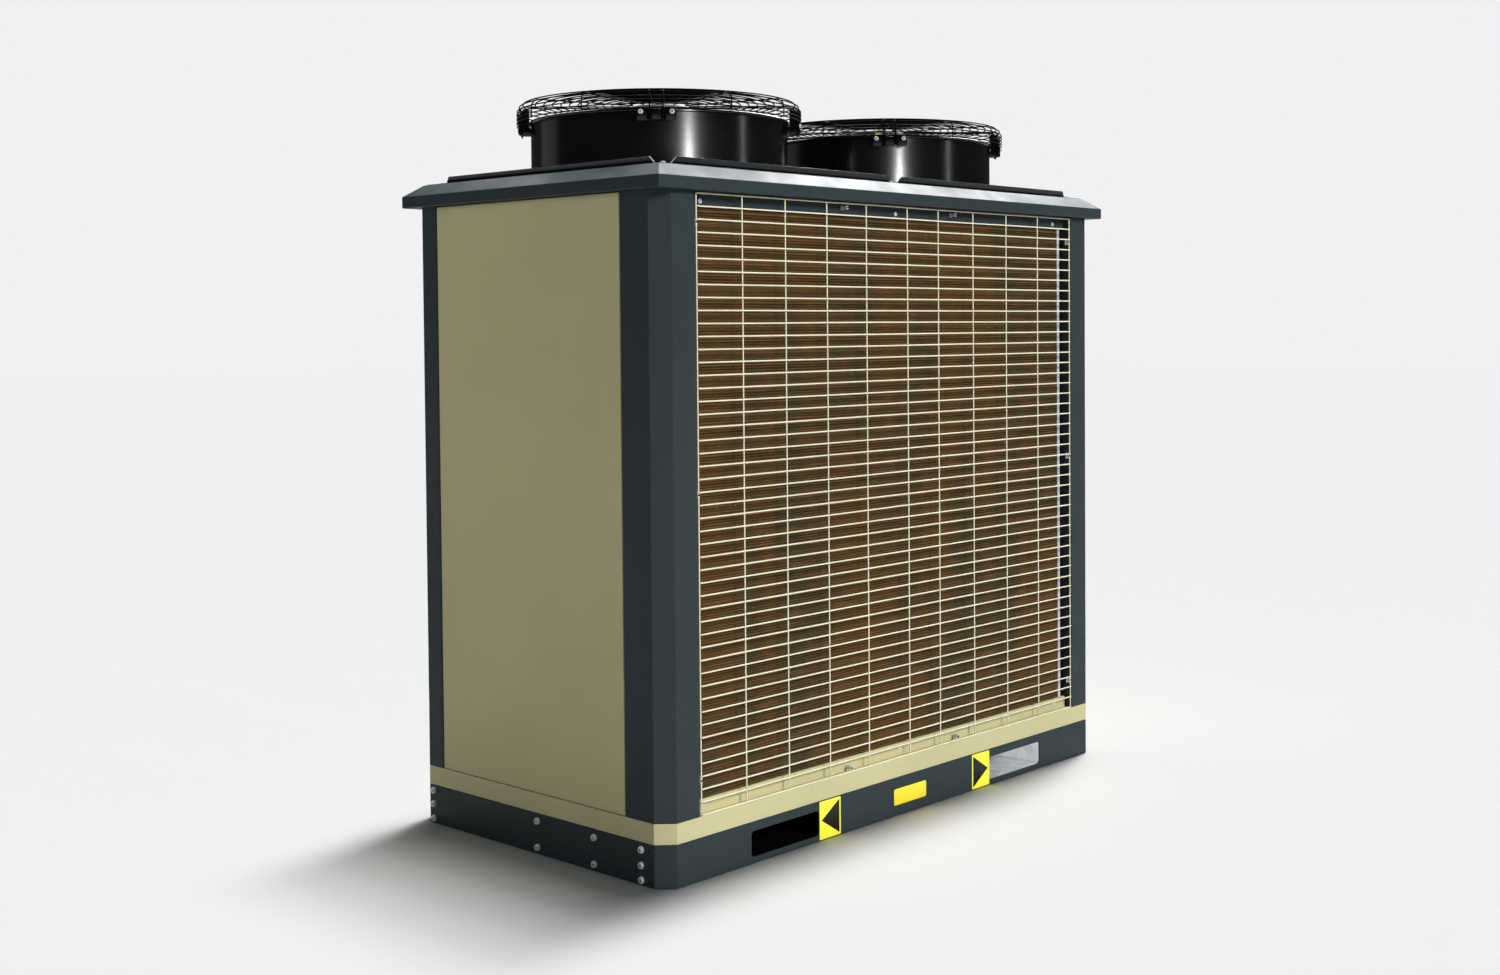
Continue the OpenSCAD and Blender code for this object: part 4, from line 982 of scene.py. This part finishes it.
def blade(form, at):
    """A swept, twisted blade of aerofoil section from the rotor to the shroud."""
    stations, chordwise = 14, 9
    root_r, tip_r = ROTOR_R - 6, 385.5
    rings = []
    for i in range(stations):
        t = i / (stations - 1)
        radius = root_r + (tip_r - root_r) * t
        chord = (118 + 62 * math.sin(math.pi * min(1, 0.25 + 0.6 * t)) - 12 * t)
        pitch = math.radians(36 - 18 * t)
        sweep = math.radians(-6 + 17 * t * t)
        upper, lower = [], []
        for k in range(chordwise):
            s = k / (chordwise - 1)
            camber = 0.07 * chord * math.sin(math.pi * s)
            thick = (0.6 + 2.2 * math.sin(math.pi * s) ** 0.6) * (1.3 - 0.5 * t)
            for row, off in ((upper, thick / 2), (lower, -thick / 2)):
                flat = (s - 0.5) * chord
                across = flat * math.cos(pitch) - (camber + off) * math.sin(pitch)
                rise = flat * math.sin(pitch) + (camber + off) * math.cos(pitch)
                turn = sweep + across / radius
                row.append(Vector((radius * math.cos(turn), radius * math.sin(turn), BLADE_Z + rise)))
        rings.append(upper + lower[::-1])
    form.add(loft(rings), at)


def fan_impeller(side):
    """The rotor's ribbed cup round the motor, and five blades."""
    fan, bottom, top, r, bore = FANS[side], ROTOR_LOW, ROTOR_HIGH, ROTOR_R, 74.4
    outside = [(12.2, bottom), (84, bottom), (90, bottom + 3), (r, bottom + 9), (r, top - 3), (89, top)]
    inside = [(76, top), (bore, top - 1.6), (bore, bottom + 17), (12.2, bottom + 17)]
    form = Form().add(hoop(outside + inside, 72), fan)
    rib = plate([p + Vector((r, 0)) for p in round_rect(3.4, 2.4, 0.8, 2)], bottom + 12, top - 6, 0.6)
    for at in spread_round(fan, 30):
        form.add(rib, at)
    for at in spread_round(fan, 5):
        blade(form, at)
    piece("fan_impeller_%s_blades" % side, form, "blade_plastic", ("fan_impeller_" + side,), "fan_" + side,
          smooth=40)


def fans():
    for side in FANS:
        fan_shroud(side)
        fan_guard(side)
        fan_motor(side)
        fan_impeller(side)
    guard_brackets()


# ---- Coils and their guards ----

def coil(node, rear):
    """A finned block: tube rows stand out as soft level ridges, a little uneven along their length."""
    lo, hi = box(node)
    face, depth = (-hi.y if rear else lo.y), hi.y - lo.y
    pitch, relief, margin = 7.65, 2.6, 3
    rows = int((hi.z - lo.z - 2 * margin) / pitch)
    start = (lo.z + hi.z - rows * pitch) / 2
    top = start + rows * pitch
    ridge = ((0.00, 1.0), (0.14, 0.25), (0.30, 0.0), (0.62, 0.02), (0.84, 0.35))
    stations = 72
    rings = []
    for i in range(stations + 1):
        x = lo.x + (hi.x - lo.x) * i / stations
        side = [(relief, lo.z), (0, lo.z + 0.4), (0, start - 0.8)]
        for row in range(rows):
            wobble = noise.noise(Vector((x * 0.005, row * 0.37, 4.0 if rear else 0.0))) * 0.45
            dent = max(0.0, noise.noise(Vector((x * 0.016, row * 0.6, 9.0))) - 0.28) * 2.2
            side += [(relief * sunk + dent * (1 - sunk), start + (row + along) * pitch + wobble)
                     for along, sunk in ridge]
        side += [(0, top + 0.8), (0, hi.z - 0.4), (relief, hi.z), (depth, hi.z), (depth, lo.z)]
        rings.append([Vector((x, face + back, z)) for back, z in side])
    form = Form().add(loft(rings), REAR if rear else None)
    piece(node + "_fins", form, "coil_fin", (node,), smooth=60)


def bars(node, axis):
    """The middles of a flat wire net's bars along an axis."""
    places = sorted({round(v.co[axis], 5) for v in NODES[node].data.vertices})
    return [(a + b) / 2 / MM for a, b in zip(places[::2], places[1::2])]


def coil_guard(node, rear):
    """Level wires welded to the front of upright ones, each a little wavy."""
    face = low("coil_guard_front").y
    level_r, upright_r = 2.35, 2.2
    uprights, levels = bars(node, 0), bars(node, 2)
    seed = 7.0 if rear else 0.0
    side = REAR if rear else None
    form = Form()
    for k, z in enumerate(levels):
        points, count = [], 36
        for i in range(count + 1):
            x = uprights[0] + (uprights[-1] - uprights[0]) * i / count
            drift = noise.noise(Vector((x * 0.0023, k * 3.7, seed)))
            edge = min(1.0, 6 * min(i, count - i) / count)
            bow = 0.5 * (1 - edge) + 0.25 * abs(drift)
            points.append((x, face + level_r + bow, z + 0.9 * drift * edge))
        form.add(tube(points, level_r, 7), side)
    for k, x in enumerate(uprights):
        points, count = [], 24
        for i in range(count + 1):
            z = levels[0] + (levels[-1] - levels[0]) * i / count
            drift = noise.noise(Vector((z * 0.0021, k * 5.3, seed + 3.0)))
            points.append((x + 0.8 * drift, face + 2 * level_r + upright_r - 0.7, z))
        form.add(tube(points, upright_r, 7), side)
    piece(node + "_wires", form, "cream_wire", (node,), smooth=60)


def guard_clips():
    """P clips: a foot plate, a rubber-lined block round the wire, its bolt and a screw."""
    form = Form()
    for lo, hi in solids("guard_clips"):
        middle, (wide, deep, tall) = (lo + hi) / 2, hi - lo
        side = -1 if middle.y < 0 else 1
        front = lo.y if side < 0 else hi.y
        at = turned_y(middle.x, front - side * deep, middle.z, side)
        foot_t, block = 1.6, round_rect(wide * 0.62, tall * 0.86, 3)
        form.add(plate(round_rect(wide, tall, 4), 0.2, foot_t, 0.4), at)
        form.add(plate(block, foot_t - 0.2, deep - 0.6, 1.6, 3), at)
        form.add(spindle([(3.6, deep - 1.2), (3.6, deep + 0.3), (2.6, deep + 0.9)], 18), at, 1)
        add_pan_screw(form, at @ shifted(wide * 0.36, 0, foot_t), radius=3.2, height=2)
    piece("guard_clip_bodies", form, "galvanised", ("guard_clips",), others=("rubber",), smooth=30)


def coils():
    for side in ("front", "rear"):
        coil("coil_" + side, side == "rear")
        coil_guard("coil_guard_" + side, side == "rear")
    refined("coil_end_plates", "galvanised", 0.4)
    refined("coil_headers", "copper", 0.6)
    guard_clips()


# ---- Marking plates ----

def labels():
    """Plain yellow plates: an arrow towards each fork pocket, and a blank plate in the middle."""
    form = Form()
    full, foil = 0.6, 0.45
    for lo, hi in solids("labels"):
        middle, size = (lo + hi) / 2, hi - lo
        side = -1 if middle.y < 0 else 1
        facing = Matrix.Rotation(math.pi if side > 0 else 0, 4, "Z") @ Matrix.Rotation(math.pi / 2, 4, "X")
        at = shifted(middle.x, side * HALF_W, middle.z) @ facing
        if size.x > 120:
            form.add(plate(round_rect(size.x, size.z, 6), 0.02, foil, 0.15), at, 2)
            continue
        form.add(plate(round_rect(size.x, size.z, 3), 0.02, foil, 0.15), at)
        toward = math.copysign(1, middle.x) * -side
        tail_x, tail_y = -toward * (size.x / 2 - 6), size.z / 2 - 6
        arrow = [Vector((toward * (size.x / 2 - 9), 0)), Vector((tail_x, tail_y)), Vector((tail_x, -tail_y))]
        if toward < 0:
            arrow.reverse()
        form.add(plate(arrow, foil * 0.8, full, 0.05), at, 1)
    paints = ("black_paint", "label_amber")
    piece("marking_plates", form, "label_yellow", ("labels",), others=paints, smooth=30)


# ---- Refrigeration parts ----

def compressor(node):
    """A compressor's shell and mounting plate, with its weld seams and the plate's bolts."""
    refined(node, "black_paint", 2, smooth=40)
    lo, hi = box(node)
    shell_x, shell_r, reach, foot_t = 640, 90, 100, 8
    shell_y = lo.y + reach if lo.y < -2 * reach else hi.y - reach
    seam = [(shell_r + out, z) for out, z in ((-1, -4), (1.6, -2.5), (2.4, 0), (1.6, 2.5), (-1, 4))]
    form = Form()
    for z in (215, 505):
        form.add(hoop(seam, 72), shifted(shell_x, shell_y, z))
    for dx in (-80, 80):
        for dy in (-80, 80):
            at = shifted(shell_x + dx, shell_y + dy, lo.z + foot_t)
            add_hex_bolt(form, at, across=13, washer_r=11, washer_t=1.6, head_h=6, socket=1)
    piece(node + "_seams", form, "black_paint", others=("zinc",), smooth=30)


def rubber_feet():
    """Waisted rubber feet under the compressors' plates."""
    form = Form()
    waist = [(14, 0), (14, 0.24), (11, 0.34), (9.5, 0.5), (11, 0.66), (14, 0.76), (14, 1)]
    for lo, hi in solids("compressor_feet"):
        middle, tall = (lo + hi) / 2, hi.z - lo.z
        form.add(spindle([(r, share * tall) for r, share in waist], 32), shifted(middle.x, middle.y, lo.z))
    piece("compressor_grommets", form, "rubber", ("compressor_feet",), smooth=30)


def control_box():
    """A sheet case with a lipped cover, quarter-turn locks, louvres and cable glands below."""
    lo, hi = box("control_box")
    middle, size = (lo + hi) / 2, hi - lo
    back = turned_x(lo.x, middle.y, middle.z)
    case, cover = round_rect(size.z, size.y, 4), round_rect(size.z - 4, size.y - 4, 6)
    front = size.x - 1.8
    form = Form()
    form.add(plate(case, 0, size.x - 16, 1.4, 3), back)
    form.add(plate(cover, size.x - 15.4, size.x - 1.6, 2.4, 3), back)
    for share in (-0.38, 0, 0.38):
        lock = back @ shifted(share * size.z, size.y / 2 - 26, front)
        form.add(plate(circle(11, 32), 0, 1.6, 0.5), lock, 1)
        form.add(plate(round_rect(13, 2.4, 1, 2), 1.2, 1.8, 0.1), lock, 1)
    for k in range(9):
        louvre = back @ shifted(size.z * 0.36 - 16 * k, -size.y * 0.18, front)
        form.add(plate(round_rect(7, 150, 3, 3), 0, 1.7, 1.2, 3), louvre)
    for k in range(5):
        gland = shifted(middle.x - 8, middle.y + (k - 2) * 70, lo.z)
        form.add(spindle([(13, 0.5), (13, -6), (11, -7), (11, -16), (8, -19)], 24), gland, 1)
    piece("control_box_case", form, "galvanised", ("control_box",), others=("dark_plastic",), smooth=30)


def plumbing():
    """Copper runs, rounded from the CAD's facets by one level of subdivision."""
    work = welded("refrigerant_pipes", whole=False)
    mesh = bpy.data.meshes.new("refrigerant_pipe_runs")
    work.to_mesh(mesh)
    work.free()
    mesh.materials.append(MATERIALS["copper"])
    obj = finish_piece("refrigerant_pipe_runs", mesh, ("refrigerant_pipes",), "cabinet", 180, False)
    round_off = obj.modifiers.new("round", "SUBSURF")
    round_off.levels = round_off.render_levels = 1
    beads = Form()
    ring = [(11.6, -3), (14, -1), (14, 1), (11.6, 3)]
    for x, z in ((480, 702), (530, 702), (580, 702), (530, 818)):
        beads.add(hoop(ring, 28), shifted(x, 0, z))
    piece("braze_beads", beads, "copper", smooth=30)


def refrigeration():
    compressor("compressor_front")
    compressor("compressor_rear")
    rubber_feet()
    refined("heat_exchanger", "dark_plastic", 2.5)
    refined("suction_accumulator", "black_paint", 1.5)
    refined("filter_drier", "drier_paint", 2)
    refined("reversing_valve", "copper", 1.2)
    plumbing()
    control_box()


# ---- Stage and light ----

PALE = (0.880, 0.880, 0.880)
BOUNCE = (0.60, 0.60, 0.59)


def make_floor():
    """A wide pale floor as bright as the background, which takes the object's shadow. What it
    throws back up at the object is dimmer."""
    disc = bmesh.new()
    bmesh.ops.create_circle(disc, cap_ends=True, radius=60, segments=96)
    mesh = bpy.data.meshes.new("floor")
    disc.to_mesh(mesh)
    disc.free()
    floor = bpy.data.objects.new("floor", mesh)
    floor.location.z = -0.4 * MM
    bpy.context.scene.collection.objects.link(floor)
    material = bpy.data.materials.new("floor")
    material.use_nodes = True
    tree = material.node_tree
    tree.nodes.clear()
    seen = new_node(tree, "BsdfDiffuse", Color=(*PALE, 1))
    bounce = new_node(tree, "BsdfDiffuse", Color=(*BOUNCE, 1))
    mix = new_node(tree, "MixShader", Fac=new_node(tree, "LightPath").outputs["Is Camera Ray"])
    tree.links.new(bounce.outputs[0], mix.inputs[1])
    tree.links.new(seen.outputs[0], mix.inputs[2])
    new_node(tree, "OutputMaterial", Surface=mix.outputs[0])
    mesh.materials.append(material)


def make_world():
    """A pale background for the camera, a dim one for matt surfaces, and near black in reflections."""
    world = bpy.data.worlds.new("studio")
    bpy.context.scene.world = world
    world.use_nodes = True
    tree = world.node_tree
    tree.nodes.clear()
    ray = new_node(tree, "LightPath")
    under = new_node(tree, "Background", Color=(0.90, 0.96, 1.0, 1), Strength=0.10)
    for colour, when in (((0.03, 0.032, 0.035), "Is Glossy Ray"), (PALE, "Is Camera Ray")):
        over = new_node(tree, "Background", Color=(*colour, 1))
        mix = new_node(tree, "MixShader", Fac=ray.outputs[when])
        tree.links.new(under.outputs[0], mix.inputs[1])
        tree.links.new(over.outputs[0], mix.inputs[2])
        under = mix
    new_node(tree, "OutputWorld", Surface=under.outputs[0])


def towards(azimuth, elevation):
    """The unit vector that points in the given direction, the azimuth anticlockwise from +X."""
    a, e = math.radians(azimuth), math.radians(elevation)
    return Vector((math.cos(a) * math.cos(e), math.sin(a) * math.cos(e), math.sin(e)))


def hang(name, data, away, target=Vector((0, 0, 1.0)), distance=6.0):
    """Puts a lamp away from the middle of the object, facing it."""
    lamp = bpy.data.objects.new(name, data)
    turn = away.to_track_quat("Z", "Y").to_matrix().to_4x4()
    lamp.matrix_world = Matrix.Translation(target + away * distance) @ turn
    bpy.context.scene.collection.objects.link(lamp)
    return lamp


def overhead(azimuth, elevations, strength, spread):
    """A long high light, as a row of discs that together light the whole floor evenly."""
    for i, elevation in enumerate(elevations):
        data = bpy.data.lights.new("overhead_%d" % i, "SUN")
        data.energy, data.angle = strength, math.radians(spread)
        hang(data.name, data, towards(azimuth, elevation)).visible_glossy = False


def light_only(lamp, names, spared=False):
    """Keeps a lamp's light to the named objects, or away from them."""
    chosen = bpy.data.collections.new(lamp.name + "_choice")
    for name in names:
        chosen.objects.link(bpy.data.objects[name])
    lamp.light_linking.receiver_collection = chosen
    if spared:
        for choice in chosen.collection_objects:
            choice.light_linking.link_state = "EXCLUDE"


def fill(name, azimuth, elevation, strength):
    """A broad soft lamp on one side of the cabinet, which shows in no reflection."""
    data = bpy.data.lights.new(name, "SUN")
    data.energy, data.angle = strength, math.radians(16)
    lamp = hang(name, data, towards(azimuth, elevation))
    lamp.visible_glossy = False
    return lamp


def card(name, azimuth, elevation, width, height, power):
    """A bright card seen only in reflections."""
    data = bpy.data.lights.new(name, "AREA")
    data.shape = "RECTANGLE"
    data.size, data.size_y = width, height
    data.energy = power
    lamp = hang(name, data, towards(azimuth, elevation))
    lamp.visible_diffuse = False
    return lamp


def make_lights():
    """The lamps. Strengths and sizes are the ones that give the soft shadow towards the plain end."""
    overhead(13, (69.5, 74.5, 79.5, 84.5), 0.729, 8)
    fills = (("front", 278, 3.3), ("rear", 85, 1.9), ("service_end", 5, 1.35), ("end", 184, 0.42))
    for name, azimuth, strength in fills:
        light_only(fill(name, azimuth, 27, strength), ("floor",), spared=True)
    light_only(fill("tunnel", 222, 0.4, 5.5), ("fork_tunnel_right_finished",))
    card("back_card", 21, 46, 3.4, 2.6, 520)
    card("rear_card", 62, 45, 3.0, 2.6, 150)
    shrouds = ("fan_shroud_left_ring", "fan_shroud_right_ring")
    light_only(card("front_strip", 245.6, 3, 0.42, 2.28, 540), shrouds)
    light_only(card("side_strip", 298, 8, 0.2, 3.0, 13), shrouds)
    light_only(card("edge_strip", 118, 3, 2.6, 4.0, 9), shrouds)


def main():
    make_camera()
    make_world()
    make_floor()
    bpy.context.scene.view_settings.view_transform = "Standard"
    base()
    posts()
    end_panel()
    service_end()
    roof()
    decks()
    cabinet_screws()
    fans()
    coils()
    labels()
    refrigeration()
    make_lights()


main()
